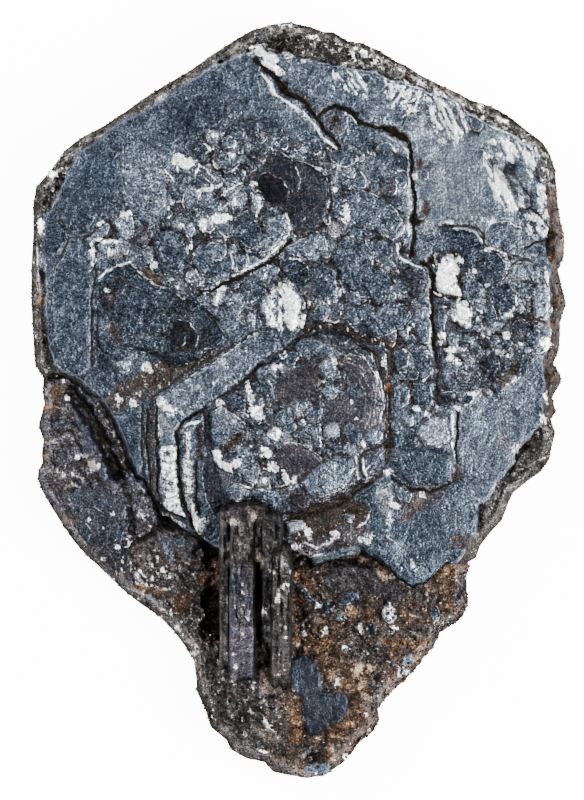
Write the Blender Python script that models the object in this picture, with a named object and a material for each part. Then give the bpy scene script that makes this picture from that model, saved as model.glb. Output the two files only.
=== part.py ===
"""Hematite specimen: one tabular crystal with a stepped face, a recessed side crystal, two bundles of upright
blades and a rusty, broken root, all grown together as a single solid lying on its back.

Outlines are drawn on a sheet 758 units tall, x to the right and y down; UNIT turns them into metres."""

import math
import random

import bmesh
import bpy
from mathutils import Vector, noise
from mathutils.geometry import delaunay_2d_cdt

for old in list(bpy.data.objects):
    bpy.data.objects.remove(old, do_unlink=True)

# Driving dimensions, in metres
HEIGHT = 0.080  # from the root's tip to the top corner
SHEET = 758  # the same height in sheet units
UNIT = HEIGHT / SHEET
MIDDLE = (297.5, 401.0)  # the sheet point over the origin
RIM_Z = 0.0066  # where the face side meets the edge
SHOULDER_Z = 0.0084  # the rough shoulder round the main face
FACE_RISE = 0.0011  # from the shoulder up to the main face
ROOT_DROP = 0.0026  # how far the root falls away at its tip
SIDE_DROP = 0.0013  # how far the side crystal lies below the shoulder
BLADE_Z = 0.0152  # the tallest blade
BACK_STEP = 0.0006  # the border of the back stands this far off the rest face
SHOULDER_WIDTH = 10  # sheet units from the edge to the shoulder
SEED = 11

# The whole specimen's edge, clockwise from the top corner
EDGE = [
    (270, 25), (288, 22), (310, 27), (324, 32), (340, 38), (362, 43), (380, 51), (403, 64), (420, 75), (440, 85),
    (460, 94), (470, 100), (490, 106), (507, 115), (530, 133), (543, 143), (550, 155), (555, 170), (557, 197),
    (560, 220), (564, 235), (564, 256), (558, 273), (566, 303), (559, 330), (559, 350), (553, 364), (561, 380),
    (552, 398), (556, 412), (550, 421), (555, 440), (549, 460), (540, 472), (518, 487), (509, 496), (502, 520),
    (490, 533), (480, 546), (477, 560), (467, 576), (467, 605), (459, 623), (440, 633), (430, 653), (413, 673),
    (397, 688), (380, 703), (379, 722), (362, 741), (352, 755), (340, 765), (325, 777), (306, 780), (280, 775),
    (264, 764), (237, 755), (226, 742), (208, 724), (196, 692), (193, 661), (178, 640), (160, 618), (130, 593),
    (109, 577), (85, 555), (66, 531), (50, 506), (38, 484), (42, 462), (43, 440), (38, 424), (44, 405), (43, 383),
    (35, 368), (33, 340), (31, 300), (31, 268), (33, 235), (33, 204), (36, 187), (50, 171), (64, 151), (79, 139),
    (105, 125), (126, 111), (147, 96), (170, 82), (192, 69), (213, 54), (235, 40), (250, 31),
]

# The main face, inside its rough shoulder
FACE = [
    (76, 154), (100, 138), (121, 122), (144, 111), (167, 95), (192, 79), (217, 64), (245, 53), (270, 56),
    (290, 53), (320, 62), (355, 68), (370, 71), (390, 80), (410, 86), (430, 93), (450, 99), (462, 110),
    (480, 118), (497, 127), (512, 134), (530, 148), (542, 162), (546, 185), (549, 225), (546, 245), (550, 270),
    (550, 300), (549, 330), (547, 350), (543, 362), (546, 385), (543, 400), (545, 417), (530, 440), (518, 450),
    (514, 464), (497, 485), (490, 499), (480, 505), (478, 530), (468, 547), (455, 562), (437, 571), (425, 585),
    (412, 588), (400, 580), (380, 563), (355, 555), (330, 546), (305, 528), (290, 516), (260, 520), (225, 530),
    (200, 545), (180, 531), (163, 517), (150, 500), (141, 482), (126, 460), (118, 440), (108, 418), (95, 400),
    (78, 388), (62, 379), (44, 372), (43, 340), (42, 300), (41, 250), (43, 210), (50, 190), (60, 170),
]

# The flat part of the back, which the specimen rests on
REST = [
    (196, 120), (292, 86), (392, 122), (490, 172), (508, 250), (504, 396), (442, 500), (352, 558), (262, 566),
    (182, 508), (112, 402), (92, 300), (98, 196),
]


def place(x, y, z):
    """A sheet point at height z, in metres."""
    return Vector(((x - MIDDLE[0]) * UNIT, (MIDDLE[1] - y) * UNIT, z))


def to_segment(x, y, a, b):
    """Distance from a point to the segment from a to b."""
    along_x, along_y = b[0] - a[0], b[1] - a[1]
    length = along_x * along_x + along_y * along_y
    t = ((x - a[0]) * along_x + (y - a[1]) * along_y) / length if length else 0
    t = max(0.0, min(1.0, t))
    return math.hypot(x - a[0] - t * along_x, y - a[1] - t * along_y)


def inside(x, y, outline):
    """True if a point lies in a closed outline."""
    within = False
    for a, b in zip(outline, outline[1:] + outline[:1]):
        if (a[1] > y) != (b[1] > y) and x < a[0] + (y - a[1]) / (b[1] - a[1]) * (b[0] - a[0]):
            within = not within
    return within


def depth_inside(x, y, outline):
    """How far inside a closed outline a point lies, negative outside it."""
    near = min(to_segment(x, y, a, b) for a, b in zip(outline, outline[1:] + outline[:1]))
    return near if inside(x, y, outline) else -near


def beside(line, offset, closed):
    """The line moved sideways by offset, to the right of its direction on the sheet when positive."""
    moved = []
    count = len(line)
    for i, (x, y) in enumerate(line):
        before = line[i - 1] if closed or i else line[i]
        after = line[(i + 1) % count] if closed or i < count - 1 else line[i]
        step_x, step_y = after[0] - before[0], after[1] - before[1]
        length = math.hypot(step_x, step_y) or 1
        moved.append((x - step_y / length * offset, y + step_x / length * offset))
    return moved


def box_of(line, margin):
    xs, ys = [p[0] for p in line], [p[1] for p in line]
    return min(xs) - margin, min(ys) - margin, max(xs) + margin, max(ys) + margin


def shelf(outline, rise, bevel=3.0):
    """A terrace: the face inside the outline stands rise millimetres higher, with a bevel this many units wide."""
    area = sum(a[0] * b[1] - b[0] * a[1] for a, b in zip(outline, outline[1:] + outline[:1]))
    brink = beside(outline, bevel if area > 0 else -bevel, True)
    brink = [p for p in brink if depth_inside(p[0], p[1], outline) > 0.85 * bevel]
    return {"line": outline, "brink": brink, "rise": rise, "width": bevel, "closed": True}


def lobe(x, y, across, down, rise, bevel=3.5, sides=9, turn=0.0):
    """A rounded growth scale: an uneven oval terrace."""
    outline = []
    for i in range(sides):
        angle = turn + i * math.tau / sides
        swell = 1 + 0.09 * math.sin(2.3 * i + x)
        outline.append((x + across * swell * math.cos(angle), y + down * swell * math.sin(angle)))
    return shelf(outline, rise, min(bevel, 0.45 * min(across, down)))


def groove(line, depth, width=5.0):
    """A crack or a step line: a V-shaped channel along the line; a negative depth makes a ridge."""
    return {"line": line, "rise": -depth, "width": width / 2, "closed": False}


def amount(feature, x, y):
    """How much of a feature's rise a point gets, from 0 to 1."""
    low_x, low_y, high_x, high_y = feature["box"]
    if not (low_x < x < high_x and low_y < y < high_y):
        return 0.0
    if feature["closed"]:
        return max(0.0, min(1.0, depth_inside(x, y, feature["line"]) / (0.85 * feature["width"])))
    near = min(to_segment(x, y, a, b) for a, b in zip(feature["line"], feature["line"][1:]))
    return max(0.0, 1.0 - near / feature["width"])


def broad_steps():
    """Cracks and step lines that cross the main face."""
    return [
        groove([(252, 60), (265, 72), (277, 80), (290, 94), (302, 97), (312, 110), (321, 124), (340, 148)], 0.40),
        groove([(245, 66), (258, 73), (270, 84), (283, 98), (296, 107), (308, 119), (321, 136), (334, 152)], -0.22),
        groove([(321, 117), (337, 107), (352, 116), (366, 126), (383, 128), (408, 137)], 0.35),
        groove([(402, 128), (408, 116), (420, 110), (437, 98)], 0.2, 4),
        groove([(409, 141), (413, 160), (412, 185), (414, 205), (412, 225), (414, 240), (412, 258)], 0.45, 6),
        groove([(404, 150), (406, 190), (405, 240)], -0.25, 5),
        groove([(412, 258), (425, 270), (431, 285), (432, 320), (434, 350), (435, 380), (435, 408)], 0.45, 6),
        groove([(424, 280), (425, 320), (427, 350)], -0.25, 5),
        groove([(432, 300), (456, 301)], 0.25, 4),
        groove([(457, 408), (457, 440), (457, 476)], 0.4, 5),
        groove([(450, 413), (450, 455)], -0.25, 5),
        groove([(392, 478), (410, 490), (432, 490), (457, 478)], 0.35),
        groove([(200, 293), (215, 289), (236, 277), (258, 265), (280, 251), (291, 240)], 0.35),
        groove([(113, 233), (100, 240), (97, 262), (92, 290), (94, 325), (94, 366)], 0.3, 4),
        groove([(58, 208), (70, 237), (53, 268), (50, 300), (50, 345)], 0.3, 4),
        groove([(143, 403), (180, 378), (215, 356), (255, 331), (282, 322)], 0.4),
        groove([(445, 227), (463, 226), (478, 233), (488, 250), (504, 259), (509, 282)], 0.3, 4),
        groove([(546, 322), (520, 312), (495, 330)], 0.35, 5),
    ]


def central_hillock():
    """The six-sided hillock in the middle, three levels high, with its ribbed left flank."""
    return [
        shelf(
            [
                (157, 401), (182, 383), (215, 361), (256, 335), (306, 326), (268, 354), (240, 376), (207, 395),
                (180, 418), (177, 440), (181, 490), (187, 520), (172, 524), (161, 505), (157, 460),
            ],
            0.35,
        ),
        shelf(
            [
                (312, 331), (290, 347), (262, 367), (240, 385), (210, 402), (200, 414), (204, 440), (202, 480),
                (205, 512), (232, 522), (292, 514), (320, 503), (342, 495), (370, 475), (386, 466), (388, 440),
                (391, 400), (390, 352), (366, 340), (340, 327),
            ],
            0.60,
            4.5,
        ),
        shelf(
            [
                (320, 346), (292, 360), (262, 382), (241, 400), (223, 415), (217, 440), (221, 468), (240, 492),
                (290, 498), (320, 488), (345, 470), (360, 451), (377, 448), (379, 420), (380, 385), (368, 360),
                (345, 346),
            ],
            0.30,
            4,
        ),
        shelf([(184, 427), (196, 425), (196, 470), (198, 520), (190, 522), (185, 490)], 0.45, 2.5),
        lobe(225, 418, 17, 12, 0.25),
        lobe(258, 402, 12, 16, 0.25),
        lobe(328, 372, 10, 13, 0.25),
        lobe(333, 402, 13, 14, 0.2),
        lobe(334, 434, 11, 10, 0.25),
        lobe(297, 462, 22, 17, 0.25),
        lobe(298, 462, 11, 8, -0.25, 3),
        lobe(232, 496, 13, 10, 0.3),
        groove([(352, 352), (370, 368), (379, 395), (377, 430)], 0.2, 4),
        groove([(300, 365), (285, 385), (290, 410), (310, 425)], 0.2, 4),
        lobe(352, 474, 16, 9, 0.25),
    ]


def left_hillock():
    """The dark low hillock on the left and the scales above it."""
    return [
        shelf(
            [
                (108, 288), (135, 268), (170, 283), (200, 299), (217, 311), (225, 340), (208, 356), (186, 367),
                (165, 384), (143, 399), (126, 394), (110, 374), (101, 345), (101, 312),
            ],
            0.50,
            5,
        ),
        shelf(
            [
                (136, 288), (166, 298), (195, 314), (207, 331), (196, 345), (172, 359), (149, 374), (131, 368),
                (116, 343), (117, 312),
            ],
            0.25,
            4,
        ),
        shelf([(150, 318), (172, 312), (188, 328), (178, 343), (156, 350), (140, 338)], 0.2),
        shelf([(86, 243), (91, 231), (104, 222), (113, 226), (108, 236), (95, 248)], 0.35, 2.5),
        shelf([(116, 222), (128, 212), (138, 225), (132, 236), (121, 239)], 0.35, 2.5),
        shelf([(120, 165), (140, 145), (165, 140), (172, 165), (150, 190), (128, 205)], 0.25, 4),
        lobe(170, 245, 17, 25, 0.3),
        lobe(120, 366, 9, 9, -0.2),
        lobe(182, 167, 9, 8, 0.3),
        lobe(76, 300, 14, 40, 0.2),
        lobe(70, 195, 13, 17, 0.25),
    ]


def scales():
    """Rounded scales and shields scattered over the upper face."""
    return [
        shelf(
            [
                (250, 172), (262, 160), (278, 151), (313, 167), (327, 182), (329, 208), (326, 224), (305, 235),
                (292, 240), (288, 216), (268, 204),
            ],
            0.40,
            4,
        ),
        shelf([(268, 180), (285, 168), (306, 176), (317, 192), (313, 214), (300, 218), (288, 200)], 0.2),
        lobe(188, 200, 9, 17, 0.35),
        lobe(207, 203, 9, 9, 0.3),
        lobe(236, 200, 14, 11, 0.35),
        lobe(231, 180, 9, 6, 0.3),
        lobe(221, 219, 11, 5, 0.25),
        lobe(214, 256, 17, 24, 0.3),
        lobe(266, 229, 20, 11, 0.35),
        lobe(245, 291, 12, 13, 0.3),
        lobe(241, 313, 11, 11, 0.2),
        lobe(298, 270, 12, 15, 0.35),
        lobe(355, 264, 19, 26, 0.35),
        lobe(385, 280, 12, 15, 0.25),
        lobe(403, 289, 7, 7, 0.2),
        lobe(388, 207, 22, 14, 0.25),
        lobe(289, 314, 15, 19, 0.35),
        lobe(266, 316, 10, 19, 0.3),
        lobe(333, 127, 11, 14, -0.35, 4),
        lobe(419, 162, 5, 8, -0.3, 2.5),
        lobe(424, 210, 7, 10, -0.3, 3),
        lobe(410, 378, 16, 27, 0.25),
        lobe(341, 293, 15, 18, 0.2),
        shelf([(150, 120), (168, 104), (196, 92), (204, 104), (180, 122), (160, 132)], 0.25, 3),
        shelf([(206, 84), (235, 74), (250, 86), (232, 112), (208, 110)], 0.2, 3),
    ]


def right_side():
    """Shields, scales and streaky facets right of the long crack."""
    return [
        lobe(446, 272, 11, 19, 0.4),
        lobe(462, 315, 6, 12, 0.3),
        lobe(477, 250, 24, 16, 0.3),
        lobe(486, 277, 19, 12, 0.25),
        lobe(505, 300, 8, 14, 0.3),
        lobe(488, 318, 8, 14, 0.25),
        lobe(450, 350, 9, 12, 0.3),
        lobe(486, 378, 29, 16, 0.25),
        lobe(500, 341, 12, 10, 0.3),
        lobe(436, 428, 14, 16, 0.3),
        shelf([(394, 447), (420, 440), (447, 446), (450, 470), (436, 484), (412, 484), (396, 470)], 0.35, 4),
        shelf([(424, 112), (436, 101), (456, 107), (462, 126), (454, 148), (430, 150), (419, 130)], 0.3, 4),
        shelf([(481, 146), (493, 150), (515, 184), (528, 200), (520, 212), (503, 210), (492, 176)], 0.35, 3),
        lobe(535, 207, 8, 15, 0.3),
        lobe(530, 233, 13, 9, 0.3),
        lobe(470, 128, 8, 7, -0.25),
        lobe(525, 418, 11, 9, -0.25),
        shelf([(500, 395), (530, 400), (536, 425), (518, 443), (496, 436), (488, 412)], 0.3, 4),
        shelf([(398, 510), (440, 508), (466, 520), (458, 545), (430, 560), (402, 550)], 0.25, 4),
        shelf([(452, 182), (470, 176), (488, 196), (486, 216), (462, 218), (450, 204)], 0.2, 4),
        shelf([(504, 150), (520, 146), (536, 160), (532, 180), (516, 178)], 0.25, 4),
        shelf([(296, 522), (322, 512), (352, 533), (340, 545), (312, 540)], 0.3, 4),
        lobe(360, 522, 18, 12, 0.25),
        lobe(484, 507, 5, 5, -0.4, 2),
    ]


def side_crystal():
    """The smaller crystal at lower left, set back behind a deep black groove."""
    return [
        shelf(
            [
                (30, 380), (62, 378), (82, 393), (98, 415), (108, 438), (118, 466), (126, 500), (128, 530),
                (112, 570), (96, 575), (20, 510), (22, 420),
            ],
            -SIDE_DROP * 1000,
            4,
        ),
        shelf(
            [
                (60, 398), (72, 400), (84, 416), (96, 444), (104, 474), (108, 503), (102, 534), (84, 540),
                (66, 518), (53, 492), (52, 462), (56, 436), (52, 414),
            ],
            0.85,
            4,
        ),
        shelf([(72, 412), (84, 428), (96, 458), (98, 480), (78, 474), (70, 444)], 0.3),
        shelf([(80, 492), (100, 490), (98, 520), (84, 528), (70, 508)], -0.35),
        groove([(76, 393), (92, 408), (104, 430), (114, 456), (122, 486), (126, 520)], 1.5, 13),
        shelf([(46, 384), (66, 386), (60, 404), (46, 410)], 0.5),
    ]


def root_parts():
    """Broken, granular root below the main face."""
    return [
        shelf([(128, 528), (163, 522), (200, 548), (219, 600), (215, 668), (186, 660), (118, 592)], -1.1, 6),
        shelf([(293, 655), (318, 660), (325, 690), (350, 705), (330, 730), (302, 725), (300, 700), (288, 672)], 0.5),
        shelf([(255, 667), (288, 665), (290, 694), (258, 696)], 0.35),
        shelf([(380, 600), (400, 605), (396, 627), (378, 622)], 0.5),
        shelf([(352, 620), (372, 620), (370, 642), (350, 640)], 0.5),
        shelf([(430, 580), (452, 574), (456, 604), (436, 618), (424, 602)], -0.5, 5),
        shelf([(400, 640), (424, 630), (414, 664), (396, 676)], -0.5, 5),
        shelf([(220, 700), (250, 706), (262, 740), (236, 744), (218, 724)], -0.6, 6),
        shelf([(320, 575), (345, 570), (372, 590), (360, 610), (326, 604)], 0.4, 5),
        groove([(292, 560), (296, 600), (300, 640)], 0.7, 12),
        groove([(211, 508), (211, 545), (213, 600), (216, 650)], 1.1, 14),
        groove([(380, 650), (352, 672), (360, 700)], 0.6, 12),
    ]


def back_parts():
    """The flat rest face, and shallow recesses in the back."""
    return [
        shelf(REST, -BACK_STEP * 1000, 4),
        shelf([(180, 190), (236, 176), (262, 214), (226, 250), (178, 236)], 0.45),
        shelf([(360, 300), (430, 290), (448, 340), (410, 388), (356, 366)], 0.55),
        shelf([(196, 232), (214, 200), (232, 234)], 0.3),
        groove([(250, 420), (282, 402), (324, 410), (356, 396)], -0.45, 7),
        shelf([(246, 600), (330, 590), (352, 660), (318, 720), (262, 716), (238, 650)], 0.7, 6),
    ]


def base_height(x, y):
    """The specimen's front before its terraces, in metres: the rim, the shoulder and the sloping root."""
    climb = max(0.0, min(1.0, depth_inside(x, y, EDGE) / SHOULDER_WIDTH))
    fall = max(0.0, min(1.0, (y - 560) / 220)) * ROOT_DROP
    return RIM_Z + (SHOULDER_Z - RIM_Z) * climb - fall


def back_base(x, y):
    """The back before its recesses: a low step off the bench, rising towards the root's tip."""
    return BACK_STEP + max(0.0, (y - 590) / 190) * 0.0016


def rough(x, y):
    """Broken-surface unevenness in metres: strong on the root and shoulder, none on the crystal faces."""
    if inside(x, y, FACE) or depth_inside(x, y, EDGE) < 1:
        return 0.0
    strength = 0.0007 if y > 560 else 0.0004
    return strength * noise.noise(Vector((x * 0.13, y * 0.13, 3.7)))


def front_base(x, y):
    """The front with its broken surface but no terraces."""
    return base_height(x, y) + rough(x, y)


def surface(features, outline, extra, height):
    """Points and triangles of a relief inside a closed outline: every terrace edge is kept as a mesh edge."""
    points, joins = list(outline), [(i, (i + 1) % len(outline)) for i in range(len(outline))]
    for feature in features:
        width, line, closed = feature["width"], feature["line"], feature["closed"]
        feature["box"] = box_of(line, width + 1)
        strands = [(line, closed), (feature["brink"], True)] if closed else [(line, False)]
        if not closed:
            strands += [(beside(line, width, False), False), (beside(line, -width, False), False)]
        for strand, loop in strands:
            start = len(points)
            points += strand
            joins += [(start + i, start + i + 1) for i in range(len(strand) - 1)]
            if loop:
                joins.append((start + len(strand) - 1, start))
    points += extra
    found, _, faces, *_ = delaunay_2d_cdt([Vector(p) for p in points], joins, [], 0, 0.9)
    kept = []
    for face in faces:
        middle_x = sum(found[i][0] for i in face) / 3
        middle_y = sum(found[i][1] for i in face) / 3
        if inside(middle_x, middle_y, outline):
            kept.append(tuple(face))
    used = sorted({i for face in kept for i in face})
    number = {old: new for new, old in enumerate(used)}
    flat = [(found[i][0], found[i][1]) for i in used]
    spots = []
    for x, y in flat:
        z = height(x, y) + sum(0.001 * f["rise"] * amount(f, x, y) for f in features)
        spots.append(place(x, y, z))
    return flat, spots, [tuple(number[i] for i in face) for face in kept]


def rim_of(faces):
    """The boundary vertices of a triangulated patch, in order, following the triangles' winding."""
    sides = {(a, b) for face in faces for a, b in zip(face, face[1:] + face[:1])}
    after = {a: b for a, b in sides if (b, a) not in sides}
    start = min(after)
    loop = [start]
    while after[loop[-1]] != start:
        loop.append(after[loop[-1]])
    return loop


def scatter(outline, gap, avoid):
    """Seeded random points inside an outline, none closer than the gap."""
    picked = []
    low_x, low_y, high_x, high_y = box_of(outline, 0)
    for _ in range(3000):
        x, y = random.uniform(low_x, high_x), random.uniform(low_y, high_y)
        clear = all(math.hypot(x - a, y - b) > gap for a, b in picked)
        if clear and depth_inside(x, y, outline) > 5 and not inside(x, y, avoid):
            picked.append((x, y))
    return picked


def upward(spots, faces, sign):
    """The triangles wound so that their normals point up (sign 1) or down (sign -1)."""
    turned = []
    for a, b, c in faces:
        normal = (spots[b] - spots[a]).cross(spots[c] - spots[a])
        turned.append((a, b, c) if normal.z * sign > 0 else (a, c, b))
    return turned


def front_parts():
    """Every terrace, lobe and crack of the front."""
    face = [shelf(FACE, FACE_RISE * 1000, 3)]
    on_face = broad_steps() + central_hillock() + left_hillock() + scales() + right_side()
    return face + on_face + side_crystal() + root_parts()


def plate(features):
    """The crystal plate and root as one closed mesh: relief on the front, striated edge, flat back."""
    broken = scatter(EDGE, 15, FACE)
    flat, spots, faces = surface(features, EDGE, broken, front_base)
    faces = upward(spots, faces, 1)
    loop = rim_of(faces)
    rings = [(0.004, 0.93), (0.000, 0.80), (0.010, 0.66), (0.006, 0.52), (0.018, 0.34), (0.030, 0.20)]
    centre_x, centre_y = 300, 400
    previous, last_flat = loop, [flat[i] for i in loop]
    for inset, share in rings:
        current, last_flat = [], []
        for i in loop:
            x, y = flat[i]
            wave = 0.006 * noise.noise(Vector((x * 0.03, y * 0.03, share * 9)))
            scale = 1 - inset - abs(wave)
            ring_x, ring_y = centre_x + (x - centre_x) * scale, centre_y + (y - centre_y) * scale
            low = back_base(x, y)
            current.append(len(spots))
            last_flat.append((ring_x, ring_y))
            spots.append(place(ring_x, ring_y, low + (spots[i].z - low) * share))
        for k in range(len(loop)):
            nxt = (k + 1) % len(loop)
            faces.append((previous[nxt], previous[k], current[k]))
            faces.append((previous[nxt], current[k], current[nxt]))
        previous = current
    back_edge = [(centre_x + (x - centre_x) * 0.94, centre_y + (y - centre_y) * 0.94) for x, y in last_flat]
    _, back_spots, back_faces = surface(back_parts(), back_edge, [], back_base)
    back_faces = upward(back_spots, back_faces, -1)
    start = len(spots)
    spots += back_spots
    back_loop = rim_of(back_faces)
    faces += [tuple(start + i for i in face) for face in back_faces]
    faces += bridge(spots, previous, [start + i for i in reversed(back_loop)])
    return spots, faces


def bridge(spots, outer, inner):
    """Triangles between two rings of equal length that run the same way round."""
    first = min(range(len(inner)), key=lambda k: (spots[inner[k]].xy - spots[outer[0]].xy).length)
    inner = inner[first:] + inner[:first]
    faces = []
    for k in range(len(outer)):
        nxt = (k + 1) % len(outer)
        faces.append((outer[nxt], outer[k], inner[k]))
        faces.append((outer[nxt], inner[k], inner[nxt]))
    return faces


def blade(left, right, profile, lean):
    """One upright blade: a side profile of (y, z) points, as thick as left to right, leaning by lean units."""
    spots, faces = [], []
    count = len(profile)
    for x, shrink in ((left, 0), (left + 1.2, 1), (right - 1.2, 1), (right, 0)):
        for y, z in profile:
            top = max(0.0, z - 0.008) / 0.007
            spots.append(place(x + lean * top, y, z + (0.0003 if shrink else 0.0)))
    for row in range(3):
        for k in range(count):
            a, b = row * count + k, row * count + (k + 1) % count
            faces.append((a, b, b + count, a + count))
    faces.append(tuple(range(count - 1, -1, -1)))
    faces.append(tuple(range(3 * count, 4 * count)))
    return spots, faces


def blades():
    """Two bundles of upright blades in front of the central hillock, fading into the root."""
    rows = [
        (219.5, 229.0, 0.93, 513, 640, -1.5), (227.5, 241.5, 0.985, 502, 672, -0.5),
        (240.0, 248.0, 1.00, 506, 682, 0), (246.5, 254.5, 0.95, 509, 646, 1),
        (262.0, 270.0, 0.93, 505, 650, -1), (268.5, 280.5, 1.00, 503, 688, 0),
        (279.0, 292.0, 0.955, 516, 662, 1.5),
    ]
    made = []
    for left, right, tall, top, foot, lean in rows:
        crest = BLADE_Z * tall
        profile = [
            (top + 3, 0.005), (top, 0.0105), (top + 3, crest - 0.0012), (top + 14, crest), (top + 50, crest - 0.0003),
            (top + 84, crest - 0.0019), (foot - 26, 0.0104), (foot, 0.0074), (foot + 6, 0.005),
        ]
        made.append(blade(left, right, profile, lean))
    web = [(532, 0.005), (528, 0.0090), (560, 0.0096), (640, 0.0088), (668, 0.005)]
    made.append(blade(252, 265, web, 0))
    return made


def grain(x, y, z, size):
    """One blocky grain: a flat-faced lump cut from a skewed cube."""
    flat_top = random.uniform(0.6, 0.9)
    turn = random.uniform(0, math.tau)
    spots = []
    for level, share in ((-0.9, 0.8), (0.1, 1.0), (flat_top, 0.55)):
        for k in range(5):
            angle = turn + k * math.tau / 5 + random.uniform(-0.25, 0.25)
            reach = size * share * random.uniform(0.8, 1.15)
            tilt = 0.25 * size * level * math.sin(angle)
            spots.append(place(x, y, z) + Vector((reach * math.cos(angle), reach * math.sin(angle), size * level + tilt * 0.4)))
    faces = [(4, 3, 2, 1, 0), (10, 11, 12, 13, 14)]
    for row in (0, 5):
        for k in range(5):
            nxt = (k + 1) % 5
            faces.append((row + k, row + nxt, row + 5 + nxt, row + 5 + k))
    return spots, faces


def make(name, spots, faces):
    mesh = bpy.data.meshes.new(name)
    mesh.from_pydata(spots, [], faces)
    mesh.validate()
    thing = bpy.data.objects.new(name, mesh)
    bpy.context.scene.collection.objects.link(thing)
    return thing


def grains(features):
    """Blocky grains bedded in the root, along the shoulder and in the hollow beside the side crystal."""
    beds = [
        ([(300, 690), (350, 620), (440, 590), (460, 610), (400, 676), (340, 755), (290, 765)], 16, 17, 0.00095),
        ([(345, 560), (400, 585), (460, 575), (450, 612), (360, 625), (310, 590)], 15, 10, 0.0008),
        ([(206, 655), (280, 690), (290, 760), (235, 745)], 16, 9, 0.0009),
        ([(112, 548), (160, 540), (205, 575), (200, 655), (150, 604)], 15, 10, 0.0008),
        ([(240, 32), (300, 30), (380, 58), (460, 98), (380, 74), (300, 54), (250, 52)], 14, 8, 0.0007),
        ([(515, 118), (548, 160), (550, 190), (530, 150)], 9, 5, 0.0006),
        ([(38, 185), (60, 160), (62, 180), (42, 210)], 9, 4, 0.0005),
        ([(515, 450), (552, 425), (550, 465), (518, 482)], 9, 7, 0.0006),
    ]
    made = []
    for bed, gap, most, size in beds:
        spread = [p for p in scatter(bed, gap, []) if depth_inside(p[0], p[1], EDGE) > 9]
        for x, y in spread[:most]:
            reach = size * random.uniform(0.75, 1.3)
            ground = base_height(x, y) + sum(0.001 * f["rise"] * amount(f, x, y) for f in features)
            made.append(grain(x, y, ground - 0.15 * reach, reach))
    return made


def make(name, spots, faces):
    """A mesh object of triangles from points and faces, in the scene."""
    mesh = bpy.data.meshes.new(name)
    mesh.from_pydata(spots, [], faces)
    drawn = bmesh.new()
    drawn.from_mesh(mesh)
    bmesh.ops.triangulate(drawn, faces=drawn.faces)
    drawn.to_mesh(mesh)
    drawn.free()
    thing = bpy.data.objects.new(name, mesh)
    bpy.context.scene.collection.objects.link(thing)
    return thing


def grown_together(body, pieces):
    """The body with every piece fused into it, one after another, as one solid."""
    for spots, faces in pieces:
        piece = make("piece", spots, faces)
        fuse = body.modifiers.new("fuse", "BOOLEAN")
        fuse.operation, fuse.solver, fuse.object = "UNION", "EXACT", piece
        fused = bpy.data.meshes.new_from_object(body.evaluated_get(bpy.context.evaluated_depsgraph_get()))
        body.modifiers.remove(fuse)
        body.data = fused
        bpy.data.objects.remove(piece)


def cleaned(body):
    """Slivers left by the fusing are merged away and every face becomes a triangle."""
    mesh = bmesh.new()
    mesh.from_mesh(body.data)
    bmesh.ops.remove_doubles(mesh, verts=mesh.verts, dist=0.000002)
    bmesh.ops.dissolve_degenerate(mesh, dist=0.000001, edges=mesh.edges)
    bmesh.ops.triangulate(mesh, faces=mesh.faces)
    bmesh.ops.recalc_face_normals(mesh, faces=mesh.faces)
    mesh.to_mesh(body.data)
    mesh.free()


random.seed(SEED)
relief = front_parts()
spots, faces = plate(relief)
specimen = make("hematite_crystal_group", spots, faces)
grown_together(specimen, blades() + grains(relief))
cleaned(specimen)

steel_blue = bpy.data.materials.new("hematite")
steel_blue.use_nodes = True
shader = steel_blue.node_tree.nodes["Principled BSDF"]
shader.inputs["Base Color"].default_value = (0.075, 0.10, 0.15, 1)
shader.inputs["Metallic"].default_value = 0.75
shader.inputs["Roughness"].default_value = 0.34
specimen.data.materials.clear()
specimen.data.materials.append(steel_blue)
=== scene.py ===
"""A tabular hematite crystal with a stepped metallic face, a side crystal, blades and a rusty root."""

import math

import bpy
import numpy as np
from mathutils.geometry import delaunay_2d_cdt
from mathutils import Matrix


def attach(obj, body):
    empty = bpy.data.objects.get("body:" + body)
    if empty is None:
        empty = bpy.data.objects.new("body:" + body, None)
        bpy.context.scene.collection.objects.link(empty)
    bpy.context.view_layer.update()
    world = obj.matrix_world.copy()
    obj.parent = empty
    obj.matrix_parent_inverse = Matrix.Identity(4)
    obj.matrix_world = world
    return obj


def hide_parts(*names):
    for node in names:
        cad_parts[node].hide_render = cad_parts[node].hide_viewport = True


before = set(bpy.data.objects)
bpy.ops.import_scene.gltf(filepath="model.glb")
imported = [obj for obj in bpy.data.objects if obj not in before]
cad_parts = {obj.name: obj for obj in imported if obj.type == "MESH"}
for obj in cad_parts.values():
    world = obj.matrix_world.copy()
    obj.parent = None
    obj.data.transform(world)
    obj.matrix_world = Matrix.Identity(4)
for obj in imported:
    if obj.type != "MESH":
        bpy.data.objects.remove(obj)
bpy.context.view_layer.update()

# ---- Main crystal --------------------------------------------------------------------------------
# The largest crystal: a six-sided tablet of hematite, grown layer on layer, so its flat face is covered with
# thin steps, rounded scales and a six-sided hillock. The face is bright steel-blue metal, and the broken
# shoulder and edge round it are dull grey-brown. Everything else is grown onto it.

# It is set out in units, 758 to the specimen's height of 80 mm, with x to the right and y down.
UNIT = 0.080 / 758
CENTRE_X, CENTRE_Y = 297.5, 401.0


def path(points):
    """Sheet points, given as a list or written out as x,y pairs with spaces between."""
    if isinstance(points, str):
        return [tuple(map(float, pair.split(","))) for pair in points.split()]
    return points


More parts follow.
